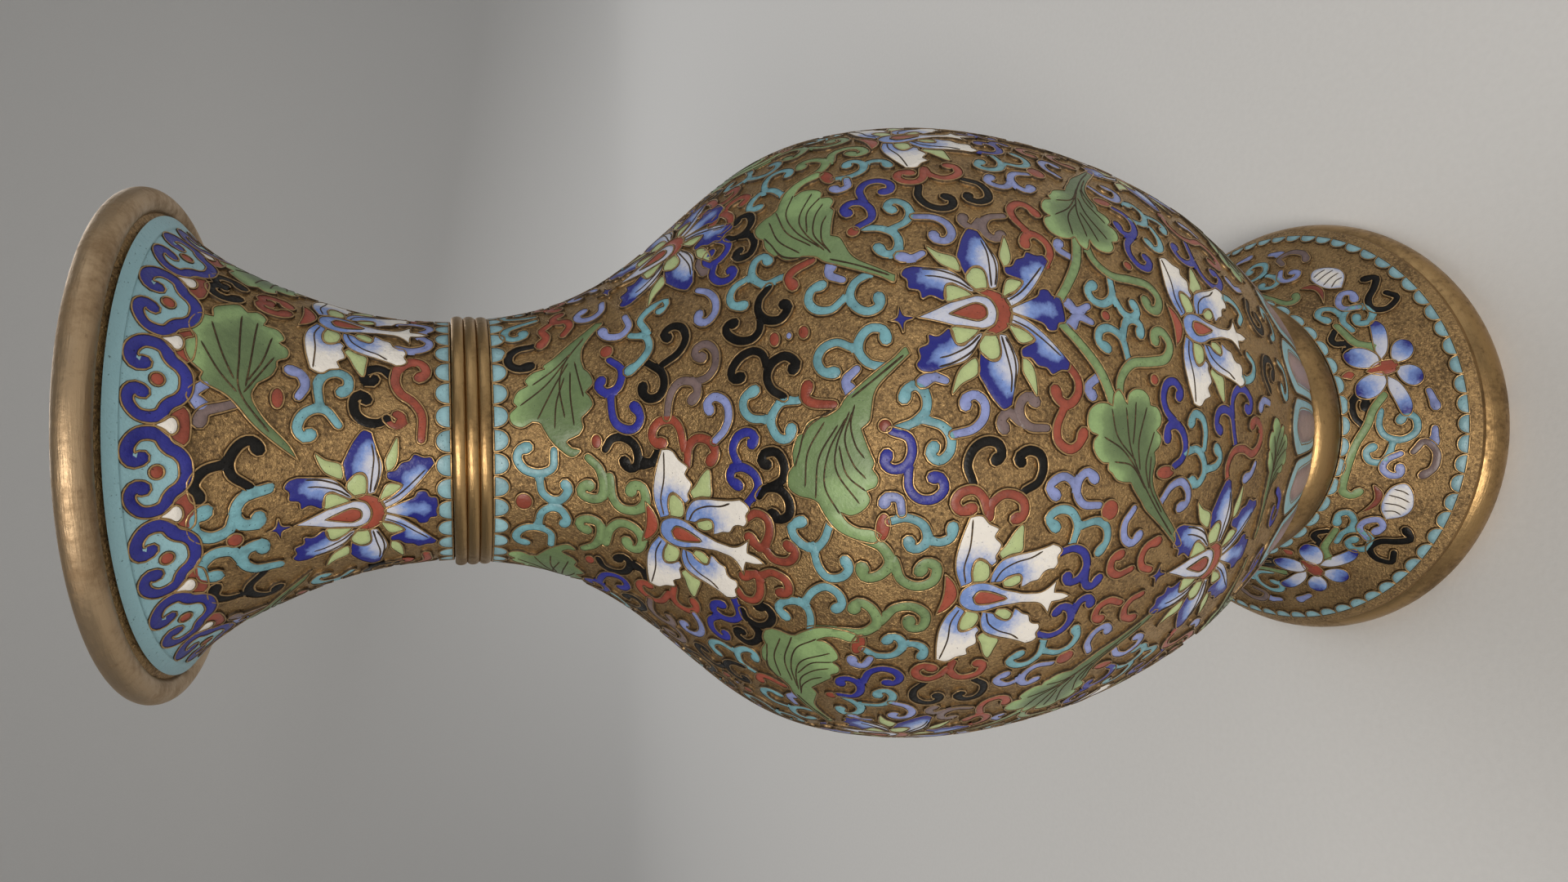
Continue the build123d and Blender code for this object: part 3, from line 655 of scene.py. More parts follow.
def leaf(name, wires, shape, flat=np.array):
    """A painted leaf: brighter at its lobes, duller and striped along its middle; flat lays out a line."""
    tone = shaded_from(flat(shape["rim"]), LEAF_DEPTHS, shape["tones"])
    parts = enamel(name, outline(*[flat(stroke) for stroke in shape["blade"]]), tone, wires)
    return parts + [vein(wires, flat(line)) for line in shape["veins"]]


# ---------------------------------------------------------------- scrolls: (angle, height), round end first
BODY_SCROLLS = {
    "turquoise": [
        [(-15.5, 158.8), (-16.8, 159.9), (-18.6, 159.6), (-20, 158.2), (-19.8, 156.8), (-18, 155.9),
         (-15.5, 155.5)],
        [(-21, 153), (-22.5, 152.4), (-24.2, 153.2), (-24.8, 154.9), (-23, 156.3), (-20.2, 157)],
        [(-16.2, 145.2), (-17.3, 144.6), (-17, 143.4), (-15.4, 142.7), (-13.4, 143.6), (-12.6, 145.8),
         (-13.2, 147.6)],
        [(-13.6, 139.3), (-15.2, 139.4), (-16, 140.8), (-15.8, 142.4)],
        [(5.2, 146.4), (6.6, 145.8), (6.8, 144.4), (5.2, 143.4), (3.2, 143.6), (1.6, 145.2), (0.9, 147)],
        [(-2, 142.6), (-3.2, 143), (-4, 141.8), (-2.8, 140.4), (-0.8, 140.2), (1, 141.4), (1.8, 143.6)],
        [(-13.6, 123.2), (-12.2, 124.6), (-11, 123), (-11.4, 120.8), (-13.4, 119.5), (-16, 119.8)],
        [(-17.6, 114.6), (-16, 113.5), (-13.9, 114), (-12.9, 116), (-13.4, 118.6)],
        [(10.2, 154.8), (10.6, 156.2), (12.6, 156.8), (14.6, 156), (15.2, 154.2), (14, 152.6)],
        [(14.4, 148), (16, 148.2), (16.5, 149.8), (15.2, 151.2), (13, 151.6), (11, 150.6), (10.2, 148.8)],
        [(11.6, 113.8), (12.6, 115.2), (14.2, 114.6), (14.6, 112.6), (13.2, 110.6), (10.4, 110)],
        [(14, 106.6), (15.4, 106.2), (16.2, 107.6), (15.6, 109.2), (13.6, 110.2)],
        [(-8, 96.6), (-8.6, 95), (-7, 93.6), (-4.8, 94), (-3.2, 95.8), (-3.6, 98.2)],
        [(0.8, 97.2), (2.2, 96.2), (1.6, 94.4), (-0.4, 93.6), (-2.6, 93.8)],
        [(-3.2, 90.6), (-4.6, 89.4), (-6, 90.4), (-6.4, 92.4)],
        [(8.4, 82), (8.2, 80), (9.2, 78), (11.2, 77.2), (12.6, 78.4)],
        [(9.2, 164.6), (8, 165.9), (5.6, 166.1), (3.6, 165.2), (3.2, 163.6)],
        [(1.2, 160.4), (-0.6, 160.8), (-0.4, 162), (2.2, 162.8), (4.6, 162.4), (6.2, 161.4), (6.2, 159.8)],
        [(8.0, 66.2), (6.2, 65.2), (6.4, 63.6), (9, 62.8), (12, 63.6), (13.2, 65.6)],
    ],
    "cobalt": [
        [(-3.2, 148.8), (-4.6, 149), (-5.4, 147.8), (-4.6, 146.2), (-2.6, 145.5), (-0.6, 146), (0.2, 147.8)],
        [(-6.4, 142.6), (-6.6, 141.4), (-8.2, 141), (-9.6, 142.4), (-9.6, 144.4), (-8, 145.8), (-5.6, 145.9)],
        [(-21.2, 119.6), (-22.2, 118.8), (-21.6, 117.2), (-19.6, 116.4), (-17.6, 117.4), (-16.8, 119.4),
         (-17.2, 121.2)],
        [(-22, 113.4), (-23.2, 114.4), (-22.6, 115.8), (-20.8, 116.2)],
        [(-1.4, 102.8), (0.2, 102.6), (0.6, 100.8), (-0.6, 99.2), (-2.8, 98.6), (-4.6, 99.4), (-5.4, 100.8)],
        [(4.8, 99.8), (5.8, 99.4), (7, 100.6), (6.6, 102.4), (4.6, 103.4), (2.6, 102.8), (1.4, 101.4)],
        [(-0.4, 89.6), (0.6, 90.6), (2.4, 90), (3, 88.2), (2, 86.2), (-0.6, 85.6), (-2.2, 85.2)],
        [(3.2, 81.4), (3, 80.4), (4.6, 79.8), (6.4, 81.4), (6.4, 83.8), (4.6, 85.6), (2, 85.8)],
        [(-10.6, 166.8), (-9.4, 167.8), (-7.2, 167.6), (-6.6, 166.2), (-8, 164.8), (-10.6, 164.4),
         (-14.2, 165.6)],
        [(-1.6, 165.2), (0, 164.9), (0.8, 165.8), (-0.2, 167), (-3, 167.6), (-5.6, 167)],
        [(-16.8, 67.4), (-19, 67.4), (-20.4, 65.8), (-18.4, 64.2), (-15, 64.4), (-13.2, 66.4)],
    ],
    "black": [
        [(-3.9, 133.6), (-3, 132.8), (-1.6, 133.4), (-1.3, 135.2), (-2.4, 137), (-4.6, 137.8), (-6.8, 137)],
        [(-4.2, 129.8), (-3.4, 130), (-2.6, 128.6), (-3.2, 126.8), (-5, 126.2), (-7, 126.9), (-8, 128.6)],
        [(12.4, 166.2), (12.6, 167.2), (14.6, 167.2), (16.8, 166), (17.4, 164.4), (16.2, 163.3), (14.4, 163)],
        [(12, 159.8), (13.2, 159.4), (14.8, 160.6), (14, 162.2), (11.6, 163), (9, 162.6), (7.4, 161.4)],
        [(-15.2, 162.4), (-16, 161.4), (-14.6, 160.4), (-12, 160.6), (-10.2, 161.8), (-10.4, 163.4),
         (-11.6, 164)],
        [(-5.6, 163.4), (-5, 164), (-3.4, 163.6), (-3.2, 162.2), (-5.4, 161.3), (-8, 161.4), (-9.4, 162.4)],
        [(9.6, 70.4), (11.2, 69.4), (13, 70.4), (12.6, 72.6), (9.8, 73.6), (7.2, 72.4)],
    ],
    "lavender": [
        [(-10.6, 148.9), (-9.6, 148.4), (-9.8, 147), (-11.4, 146.6)],
        [(3.8, 138), (4.8, 137.8), (5.2, 136.4), (4, 135.2), (2, 135.4), (0.4, 137), (-0.2, 139.4)],
        [(7, 153.1), (8.6, 153.6), (10, 152.4)], [(7.4, 143.8), (8, 142.2), (7.6, 141)],
        [(-9, 123.8), (-7.8, 125), (-6.6, 123.8), (-6.4, 122.2), (-7.6, 120.6)],
        [(-6.8, 117.2), (-5.8, 118.6), (-6.8, 120), (-8.8, 120.2), (-10.4, 118.8), (-10.6, 116.4)],
        [(4.8, 117.6), (6, 118.3), (7.4, 116.4)], [(15, 119.6), (16.2, 118.2), (15.6, 116.4)],
        [(-15.6, 107), (-16.8, 108.2), (-15.8, 110), (-13.6, 110.4), (-11.8, 109.2)],
        [(-12, 98.8), (-11.4, 97.2), (-9.6, 97.2), (-8, 99), (-8.6, 101.4), (-10.4, 103)],
        [(-8.8, 81.4), (-8.2, 79.6), (-6.8, 78.6)], [(3.4, 76.6), (4.8, 75.2), (4.6, 73.4)],
        [(6.2, 170.4), (8, 170.6), (9.2, 169.6), (7.6, 168.3), (4.4, 168), (1.4, 168.6), (-0.6, 169.6)],
    ],
    "mauve": [
        [(0.4, 132.4), (1.6, 132.8), (2.6, 131.6), (1.6, 130.4)],
        [(4, 127.4), (4.8, 128.6), (3.8, 129.8), (2, 129.8), (0.6, 128.4), (0.4, 126.2)],
    ],
    "red": [
        [(-10.8, 136.8), (-11.2, 138.4), (-10, 139.3), (-8.6, 138.6), (-8.1, 136.8), (-9, 135.4),
         (-10.8, 134.6)],
        [(-12.2, 130), (-11.6, 128.8), (-9.8, 129), (-8.8, 130.6), (-8.8, 132.4), (-10.2, 133.9),
         (-11.6, 134)],
        [(-0.4, 119.5), (-2, 120.4), (-2.6, 122), (-1.4, 123.8), (0.6, 124), (2.6, 123)],
        [(5.6, 124), (4.2, 123.4), (3.6, 121.8), (5, 120.2), (7, 120), (8.8, 121.2)],
        [(8.6, 158.2), (6.6, 158.6), (5.4, 157.6), (5, 155.6)],
        [(-18.4, 110), (-19, 111.4), (-20.8, 111.4), (-21.8, 109.6), (-21.2, 107.4)],
        [(-17, 102.4), (-17.6, 104.6), (-19.4, 105.4), (-21, 104.6), (-21.6, 103)],
        [(0.4, 79.8), (1.2, 78.2), (-0.4, 76.6), (-3, 77.2), (-4.6, 79.6), (-3.6, 82.6), (-4, 85.6),
         (-6.4, 87.2),
         (-9.2, 86.6)],
        [(-21.4, 165), (-23, 163.4), (-19.6, 162.6), (-16.6, 163), (-15.8, 164.4), (-17.2, 165.4)],
        [(-20.8, 160.2), (-21.8, 159.2), (-24, 159.8), (-24.6, 161.6), (-23.2, 162.8)],
    ],
    "vine": [
        [(-21.6, 150.8), (-23.2, 150.2), (-22.4, 148.4), (-20, 147.3), (-17.6, 148.6), (-16.6, 151),
         (-15.6, 153.4),
         (-14.6, 155)],
        [(-20.8, 143), (-19.4, 142.4), (-19.9, 140.8), (-22.2, 140.9), (-23.4, 143), (-22.6, 145.4),
         (-20, 146.6)],
        [(2.6, 113.4), (8, 115.6), (12, 118.6), (14.6, 121.0)],
        [(13.2, 103.6), (14.4, 103.2), (14.6, 101.6), (12.6, 100.4), (10.4, 102), (9.8, 105.6), (9.4, 109.4),
         (7, 112), (3.6, 112.4)],
    ],
}
SHOULDER_SCROLLS = {
    "vine": [
        [(-17, 181.2), (-14.8, 180.6), (-15.5, 179.4), (-19.5, 179), (-23, 180.2), (-23.5, 182.4),
         (-20, 183.8),
         (-14, 184.2)],
        [(-17, 187.4), (-18.4, 188.5), (-20.6, 188.4), (-22, 187), (-20.8, 185.5), (-16, 185.2),
         (-10.6, 185.9),
         (-7.6, 187.2)],
    ],
    "black": [
        [(-7.4, 182.2), (-9.6, 181.4), (-8.6, 180.4), (-5.6, 180.2), (-2, 180.8), (0.2, 182.4),
         (-0.2, 184), (-2.8, 184.8)],
        [(-7.8, 179.6), (-7, 178.2), (-4.8, 177.6)],
        [(15.4, 179.2), (13.2, 179.2), (11.4, 178.4), (11.8, 177), (14.6, 176.2), (18.4, 176.4), (22, 178)],
        [(28.2, 175.0), (30, 175.4), (31.2, 174.2), (29.6, 172.9), (26, 172.6), (22.8, 173.8), (21, 175.8)],
        [(31.6, 196), (31, 197.8), (33.6, 199.2), (38, 199.2), (41.4, 197.8), (42, 195.6)],
    ],
    "cobalt": [
        [(9.8, 180.6), (8, 180), (5.6, 179.8), (3, 180.6), (2.8, 182), (5, 183.4), (9, 183.9), (14, 183.9)],
        [(20.2, 185.2), (18, 185.6), (15.6, 184.6), (16.4, 183), (19.6, 182.2), (23.4, 182.2), (26.6, 183.4)],
    ],
    "red": [
        [(-1.6, 176.8), (-1.2, 177.9), (1.6, 178.2), (4.4, 177.2), (4.6, 175.4), (2.2, 174.4), (-2, 174)],
        [(-5.8, 170.4), (-3.6, 169.8), (-1, 170.6), (-0.4, 172.2), (-2.6, 173.2), (-6.4, 173.4)],
        [(42, 194), (46, 193), (51, 193.6), (54, 192.4)],
        [(60.6, 190.2), (58.6, 191.4), (55, 191), (53.6, 189.4), (49.6, 189), (46, 190)],
    ],
    "turquoise": [
        [(-17.6, 191), (-20.2, 190.6), (-24, 191.6), (-24.4, 193.2), (-21.4, 194.6), (-16.4, 195)],
        [(-3, 196.9), (-4.6, 198.2), (-8.4, 198.4), (-12.4, 197.2), (-13.6, 195), (-11.2, 193),
         (-5.4, 192.8)],
        [(38.6, 175.4), (40.6, 174.2), (41.2, 176.4), (38.4, 178.4), (33.6, 177.8)],
        [(21.6, 181), (23.4, 179.4), (27, 177.8), (31.4, 178), (33.6, 179.8)],
        [(52.4, 196.6), (49.6, 196.8), (48.6, 198.4), (51.6, 199.6), (56.6, 199.2), (59.4, 197.2),
         (61, 194.8)],
    ],
    "lavender": [
        [(40.6, 184.2), (37.2, 183.6), (35.6, 181.6), (38, 180.2), (42, 180.4)],
        [(56.6, 186.4), (54.4, 187.6), (51, 187.2), (49.6, 185.4), (51.6, 183.8), (55.4, 183.4)],
    ],
    "mauve": [
        [(9.2, 172.6), (11, 171.8), (13.6, 172.2), (14.6, 173.8), (13, 175), (10, 175.7), (6.4, 176.0)],
        [(19.4, 170.8), (20.6, 171.7), (22.4, 171.2), (22.4, 170), (19.8, 169.1), (16.4, 169.3),
         (14.2, 170.4), (13.8, 171.6)],
        [(43, 168.4), (47, 168.8), (50, 167.6)],
    ],
}
NECK_AXIS = -29.4


def with_reflections(axis, paths):
    """The scrolls and their reflections about an angle."""
    return paths + [[(round(2 * axis - angle, 1), height) for angle, height in path] for path in paths]


NECK_SCROLLS = {
    "turquoise": with_reflections(NECK_AXIS, [
        [(-40.5, 240.8), (-39, 242.1), (-35, 242.2), (-32.2, 240.6), (-33.2, 238.6), (-36.6, 237.9)],
        [(-35.4, 234.9), (-33.4, 235.4), (-34.4, 237), (-38.6, 237.6), (-43, 236.4), (-44.6, 233.8)],
    ]),
    "black": [
        [(-14.4, 241.4), (-10.4, 241.8), (-7, 240.6), (-5.6, 238.6)],
        [(-1.6, 234.4), (1.2, 235.2), (0, 236.6), (-4.4, 237.8), (-9, 237.6), (-12.4, 236)],
        [(52.2, 238.4), (50.2, 239.6), (50.8, 241.2), (53.6, 241.8), (56.2, 240.6)],
    ],
    "red": [[(53.4, 232.2), (51.4, 233.2), (51.6, 235), (54, 235.8), (56.4, 234.8)]],
    "lavender": [
        [(11, 240.8), (14, 241.8), (17, 240.6)], [(26.4, 230.8), (25, 229.4), (21, 228.8), (17.6, 229.4)],
        [(44, 216.6), (43.6, 214), (46, 212), (50, 211.6), (53.4, 212.8)],
    ],
    "mauve": [[(6.4, 241), (9.4, 240.4), (11, 238.6), (12, 237.4)]],
}
# Under the neck's leaf: flat mm about an angle and a height.
NECK_CURLS_PLACE = (17.0, 217.0)
NECK_CURLS = {
    "turquoise": [
        [(-5.6, 11.3), (-6.1, 12.3), (-4.8, 13.1), (-2.9, 12.4), (-1.8, 10.8), (-2.0, 9.1), (-3.6, 7.8)],
        [(1.1, 7.1), (2.0, 6.2), (3.6, 6.4), (4.3, 7.9), (3.6, 9.6), (1.8, 10.4), (-0.9, 10.1)],
    ],
    "black": [
        [(0.2, 3.7), (0.9, 4.6), (-0.2, 5.4), (-2.2, 5.1), (-3.3, 3.6), (-3.4, 1.9), (-2.8, 0.9)],
        [(3.6, 2.7), (3.0, 3.4), (4.2, 4.0), (5.4, 3.0), (5.5, 1.5), (4.6, 0.5)],
    ],
    "red": [
        [(-2.3, -0.8), (-3.1, -1.4), (-3.6, -0.4), (-3.0, 0.4)],
        [(4.2, -4.0), (5.2, -5.0), (6.8, -4.3), (7.2, -2.6), (5.8, -0.9), (3.4, -0.4), (1.4, -1.2), (0, -3.0),
         (-2.2, -4.3), (-5.4, -4.2)],
    ],
}
FOOT_SCROLLS = {
    "turquoise": [
        [(-7.5, 20.4), (-9.5, 21.3), (-12.5, 20.6), (-12.5, 19), (-10, 18.2), (-6.4, 17.8)],
        [(1.4, 16.9), (3.2, 16.1), (1.8, 15), (-2, 15), (-4.6, 16.6), (-3.6, 18.8), (0, 19.7), (4.2, 19.4)],
        [(-38.5, 21.2), (-35, 21.8), (-33, 20.6), (-35, 19.3), (-38, 19)],
        [(-41.6, 17.4), (-44, 17.8), (-45, 16.4), (-42, 15.2), (-38.6, 16), (-38, 18), (-41, 19.4),
         (-45, 19.2)],
    ],
    "black": [
        [(6.6, 21.6), (9.6, 21.4), (10.6, 22.6), (8, 23.5), (3.4, 23.3), (0.8, 22.4)],
        [(28.4, 21.6), (30, 20.8), (31.6, 21.6), (32.4, 22.6), (34.6, 22.8), (36.8, 21.8)],
        [(-31.8, 12.9), (-33.6, 12), (-36, 13), (-38.4, 14.6), (-42, 15), (-44, 13.6), (-42.6, 12),
         (-40, 12.4)],
    ],
    "lavender": [
        [(-13.4, 16.4), (-15.6, 16.2), (-16.4, 17.4), (-14.4, 18.6), (-11.4, 18.2), (-9.4, 16.9)],
        [(-36, 15.8), (-33.4, 15.4), (-31.8, 16.4), (-34, 17.8), (-37, 17.9), (-39, 16.4)],
        [(-5, 13), (-1.6, 13)], [(5, 12.8), (9, 13.2)],
    ],
    "mauve": [[(-14.6, 13.6), (-12, 12.7), (-7.6, 12.7), (-4.8, 14), (-7.6, 15)]],
    "vine": [
        [(-24.4, 20.8), (-26.4, 21.6), (-25.4, 23.1), (-21, 23.6), (-14, 23.6), (-7, 23), (0, 21.4),
         (5.4, 20.4), (9.6, 18.8)],
        [(26.6, 17.6), (30, 19.7), (34, 20.3), (38.4, 20.6)],
    ],
}

# Round berries, buds and beads: zone, degrees of a cell, angle, height, radii across and along.
BERRIES = [
    (BODY, EIGHTH, -11.4, 113.8, 1.7, 1.7), (BODY, EIGHTH, -6.4, 103, 1.1, 2.0),
    (BODY, EIGHTH, 17.0, 112.9, 0.9, 0.9),
    (BODY, EIGHTH, 7.2, 105, 0.9, 0.9), (BODY, EIGHTH, 1.2, 149, 1.0, 1.0),
    (BODY, EIGHTH, -14.4, 148.8, 2.2, 1.1),
    (BODY, EIGHTH, 18.4, 161.6, 1.2, 0.9), (BODY, EIGHTH, 17.6, 158, 1.1, 0.9),
    (BODY, QUARTER, -24.4, 197.4, 1.5, 1.4), (BODY, QUARTER, -1, 186.3, 1.2, 0.9),
    (BODY, QUARTER, 31, 184, 1.2, 1.2),
    (NECK, QUARTER, -29.4, 238, 1.1, 1.1), (NECK, QUARTER, 15.4, 232.2, 1.6, 0.9),
]
BEADS = [(BODY, EIGHTH, 18.0, 159.8, 0.65, 0.55)]


# ---------------------------------------------------------------- laying the motifs
TAIL_REACH = 0.9        # how far a scroll runs on past its last point, in steps
SCROLL_LIFT = -0.02
FLOWER_REACH = 9.0      # nothing else is laid nearer than this to a flower's middle
NEIGHBOURHOOD = 25      # scrolls further apart than this never cross
AXIS_REACH = 2.4        # a dot within these degrees of a mirror axis sits on it
DOT_STEP = 15


def gap_between(zone, angle, height, other_angle, other_height):
    """How far apart two places on a zone are, in mm along its surface."""
    turn = (angle - other_angle + FULL_TURN / 2) % FULL_TURN - FULL_TURN / 2
    return math.hypot(math.radians(turn) * zone.radius(height), zone.along(height) - zone.along(other_height))


def clear_of_flowers(zone, height, places):
    """The places that do not lie under a flower."""
    middles = []
    for row_zone, apart, *flowers, _ in FLOWERS.values():
        for angle, flower_height in flowers if row_zone is zone else ():
            copies = zone.copies(angle, flower_height, apart, mirrored=False)
            middles += [(copy_angle, flower_height) for copy_angle, _ in copies]
    return [(angle, mirrored) for angle, mirrored in places
            if all(gap_between(zone, angle, height, *middle) > FLOWER_REACH for middle in middles)]


def visible_runs(ring, hidden):
    """The parts of a closed outline that are not hidden: (points, closed) pairs."""
    if not hidden.any():
        return [(ring, True)]
    start = int(np.argmax(hidden))
    ring, hidden = np.roll(ring, -start, 0), np.roll(hidden, -start)
    ends = np.flatnonzero(np.diff(np.concatenate([hidden, [True]]).astype(int)))
    runs = [ring[first + 1:last + 1] for first, last in zip(ends[::2], ends[1::2])]
    return [(run, False) for run in runs if len(run) > 2]


def lay_scrolls(zone, scrolls, cell_degrees, mirrored=True, place=None):
    """Lays every scroll of a table in its cells round the vase; with a place, its points are flat mm.

    A wire is left out where it would cross another cell, so scrolls that meet run into each other.
    """
    sizes = bpy.context.scene.vase_sizes
    laid = []
    for colour, paths in scrolls.items():
        for path in paths:
            angle, height, flat = (*place, path) if place else zone.flatten(path)
            width = (sizes.vine_width if colour == "vine" else sizes.scroll_width) / MM
            path = smooth(flat, SCROLL_STEP)
            path = np.vstack([path, path[-1] + (path[-1] - path[-2]) * TAIL_REACH])
            laid.append((colour, angle, height, ribbon(path, width)))
    under = [ring for other, ring in HEAP.outlines if other is zone]
    own = [zone.traced(ring, angle, height) for _, angle, height, ring in laid]
    reflected = []
    for _, angle, height, ring in laid if mirrored else ():
        for axis in (zone.first, zone.first + cell_degrees):
            across = zone.laid(2 * axis - zone.even(angle, height), height)
            reflected.append(zone.traced(mirror(ring), across, height))
    for index, (colour, angle, height, ring) in enumerate(laid):
        line = own[index]
        same = [other for k, other in enumerate(own) if k != index and (laid[k][0] == colour or k > index)]
        hidden = np.zeros(len(ring), bool)
        for other in under + same + reflected:
            if abs(other.mean(0) - line.mean(0)).max() < NEIGHBOURHOOD:
                hidden |= inside(line, other)
        parts = [(colour + "_scroll_enamel", cell(ring, rim_tone(0.5, 0.55, 0.25), lift=SCROLL_LIFT))]
        parts += [(colour + "_scroll_wires", wire(run, closed)) for run, closed in visible_runs(ring, hidden)]
        places = zone.copies(angle, height, cell_degrees, mirrored)
        lay_all(parts, zone, height, clear_of_flowers(zone, height, places))


def disc(across, along, step, drop=0.0):
    """A round outline."""
    turn = np.radians(np.arange(0, FULL_TURN, step))[:, None]
    return np.hstack([across * np.cos(turn), along * np.sin(turn) - drop])


def lay_dots(dots, name, tone):
    """Round dots and buds between the scrolls."""
    for zone, cell_degrees, angle, height, across, along in dots:
        parts = enamel(name, disc(across, along, DOT_STEP), even_tone(tone), "berry_wires")
        offset = zone.even(angle, height) - zone.first
        axis = cell_degrees * round(offset / cell_degrees)
        on_axis = abs(offset - axis) < AXIS_REACH
        if on_axis:
            angle = zone.laid(zone.first + axis, height)
        places = zone.copies(angle, height, cell_degrees, on_axis=on_axis)
        lay_all(parts, zone, height, clear_of_flowers(zone, height, places))


# Each row of flowers: zone, degrees between like flowers, (angle, height) of a lotus and of a white
# flower, and their scale.
FLOWERS = {
    "neck": (NECK, 2 * QUARTER, (-29.8, 221.6), (56.0, 223.2), 0.88),
    "shoulder": (BODY, 2 * QUARTER, (63.7, 171.6), (-26.3, 172.3), 1.0),
    "belly": (BODY, QUARTER, (17.2, 133.0), (-24.5, 131.0), 1.0),
    "lower": (BODY, QUARTER, (-23.0, 87.4), (16.0, 90.4), 1.0),
}


def lay_flowers(row):
    """One row of lotuses and white flowers with their wires."""
    zone, apart, lotus_place, white_place, scale = FLOWERS[row]
    names = "heart_enamel", "sepal_enamel", row + "_flower_wires"
    motifs = ((lotus(row + "_lotus_enamel", *names), lotus_place),
              (white_flower(row + "_white_enamel", *names), white_place))
    for parts, (angle, height) in motifs:
        for _, flat in parts:
            flat.points = flat.points * (scale, scale, 1)
        lay_all(parts, zone, height, zone.copies(angle, height, apart, mirrored=False))


BELLY_LEAVES = ((COMB_LEAF, -4, 154), (FAN_LEAF, -3, 112))
LOW_LEAF_PLACE, LOW_LEAF_TURN, LOW_LEAF_SCALE = (-5, 71), -50, 0.72


def lay_leaves(row):
    """One row of leaves."""
    name, wires = row + "_leaf_enamel", row + "_leaf_wires"
    if row == "belly":
        for shape, angle, height in BELLY_LEAVES:
            lay_all(leaf(name, wires, shape), BODY, height, BODY.copies(angle, height, EIGHTH))
    elif row == "lower":
        parts = leaf(name, wires, FAN_LEAF)
        for _, flat in parts:
            flat.points[:, :2] = turned(flat.points[:, :2], LOW_LEAF_TURN, LOW_LEAF_SCALE)
        angle, height = LOW_LEAF_PLACE
        lay_all(parts, BODY, height, BODY.copies(angle, height, EIGHTH))
    else:
        zone, shape = (BODY, SHOULDER_LEAF) if row == "shoulder" else (NECK, NECK_LEAF)
        angle, height, _ = zone.flatten([point for stroke in shape["blade"] for point in stroke])
        parts = leaf(name, wires, shape, lambda line: zone.flat_about(line, angle, height))
        lay_all(parts, zone, height, zone.copies(angle, height, QUARTER))


FOOT_FLOWER_PLACE = (19, 17)


def lay_foot():
    """The flowers and buds of the foot."""
    parts = foot_flower("foot_petal_enamel", "heart_enamel", "foot_wires")
    angle, height = FOOT_FLOWER_PLACE
    lay_all(parts, FOOT, height, FOOT.copies(angle, height, QUARTER, mirrored=False))
    angle, height, ring = FOOT.flatten(BUD)
    calyx = outline(FOOT.flat_about(BUD_CALYX, angle, height))
    parts = enamel("foot_bud_enamel", outline(ring), rim_tone(1.5, 0.4, 0.1), "foot_wires")
    parts += [vein("foot_wires", FOOT.flat_about(line, angle, height)) for line in BUD_VEINS]
    parts += enamel("heart_enamel", calyx, even_tone(0.7), "foot_wires")
    lay_all(parts, FOOT, height, FOOT.copies(angle, height, QUARTER, mirrored=False))


def evenly(count, first=0.0):
    """(angle, mirrored) of a number of places evenly round the vase."""
    return [(FULL_TURN * index / count + first, False) for index in range(count)]


# Each row of scallops: zone, how many, the height of its straight side, how tall, and which way it points.
SCALLOPS = {
    "neck": (NECK, 34, 208.5, 2.3, 1), "shoulder": (BODY, 36, 202.0, 2.4, -1),
    "foot_top": (FOOT, 44, 25.4, 1.7, -1), "foot_low": (FOOT, 72, 9.6, 2.0, 1),
}
SCALLOP_FILL = 0.94     # how much of its share of the row a scallop fills
SCALLOP_FULLNESS = 0.8  # under 1, a scallop is fuller than half an ellipse


def lay_scallops(row):
    """A row of half discs along a border."""
    zone, count, height, tall, way = SCALLOPS[row]
    half = math.pi * float(zone.radius(height)) / count * SCALLOP_FILL
    turn = np.radians(np.linspace(0, 180, 22))[:, None]
    arc = np.hstack([half * np.cos(turn), way * tall * np.sin(turn) ** SCALLOP_FULLNESS])
    base = np.column_stack([np.linspace(-half, half, 12)[1:-1], np.zeros(10)])
    ring = np.vstack([arc, base])
    parts = enamel(row + "_scallop_enamel", ring, rim_tone(1.0, 0.7, 0.15), row + "_scallop_wires")
    lay_all(parts, zone, height, evenly(count))


LAPPETS = 24
LAPPET_MIDDLE = 49.0
# Their strokes: (share of half a lappet's width, height) points.
LAPPET_BORDER = [[(-0.93, 37.0), (0.93, 37.0)], [(0.93, 37.0), (0.93, 46), (0.93, 54.5)],
                 [(0.86, 57), (0.5, 59.6), (0, 61.0), (-0.5, 59.6), (-0.86, 57)],
                 [(-0.93, 54.5), (-0.93, 46), (-0.93, 37.3)]]
LAPPET_FIELD = [[(-0.5, 39.0), (0.5, 39.0)], [(0.5, 39.1), (0.62, 46), (0.6, 54)],
                [(0.3, 56.6), (0, 57.6), (-0.3, 56.6)], [(-0.6, 54), (-0.62, 46), (-0.5, 39.2)]]


def lay_lappets():
    """The band of upright petals above the waist, each a pale border round a pink-grey field."""
    half = FULL_TURN / LAPPETS / 2
    flat = lambda stroke: BODY.flat_about(np.array(stroke) * (half, 1), 0, LAPPET_MIDDLE)
    border, field = (outline(*map(flat, strokes)) for strokes in (LAPPET_BORDER, LAPPET_FIELD))
    parts = enamel("lappet_border_enamel", border, even_tone(0.3), "lappet_wires", crown=0.5)
    parts += enamel("lappet_field_enamel", field, rim_tone(1.6, 0.8, 0.2), "lappet_wires", crown=0.72)
    lay_all(parts, BODY, LAPPET_MIDDLE, evenly(LAPPETS))


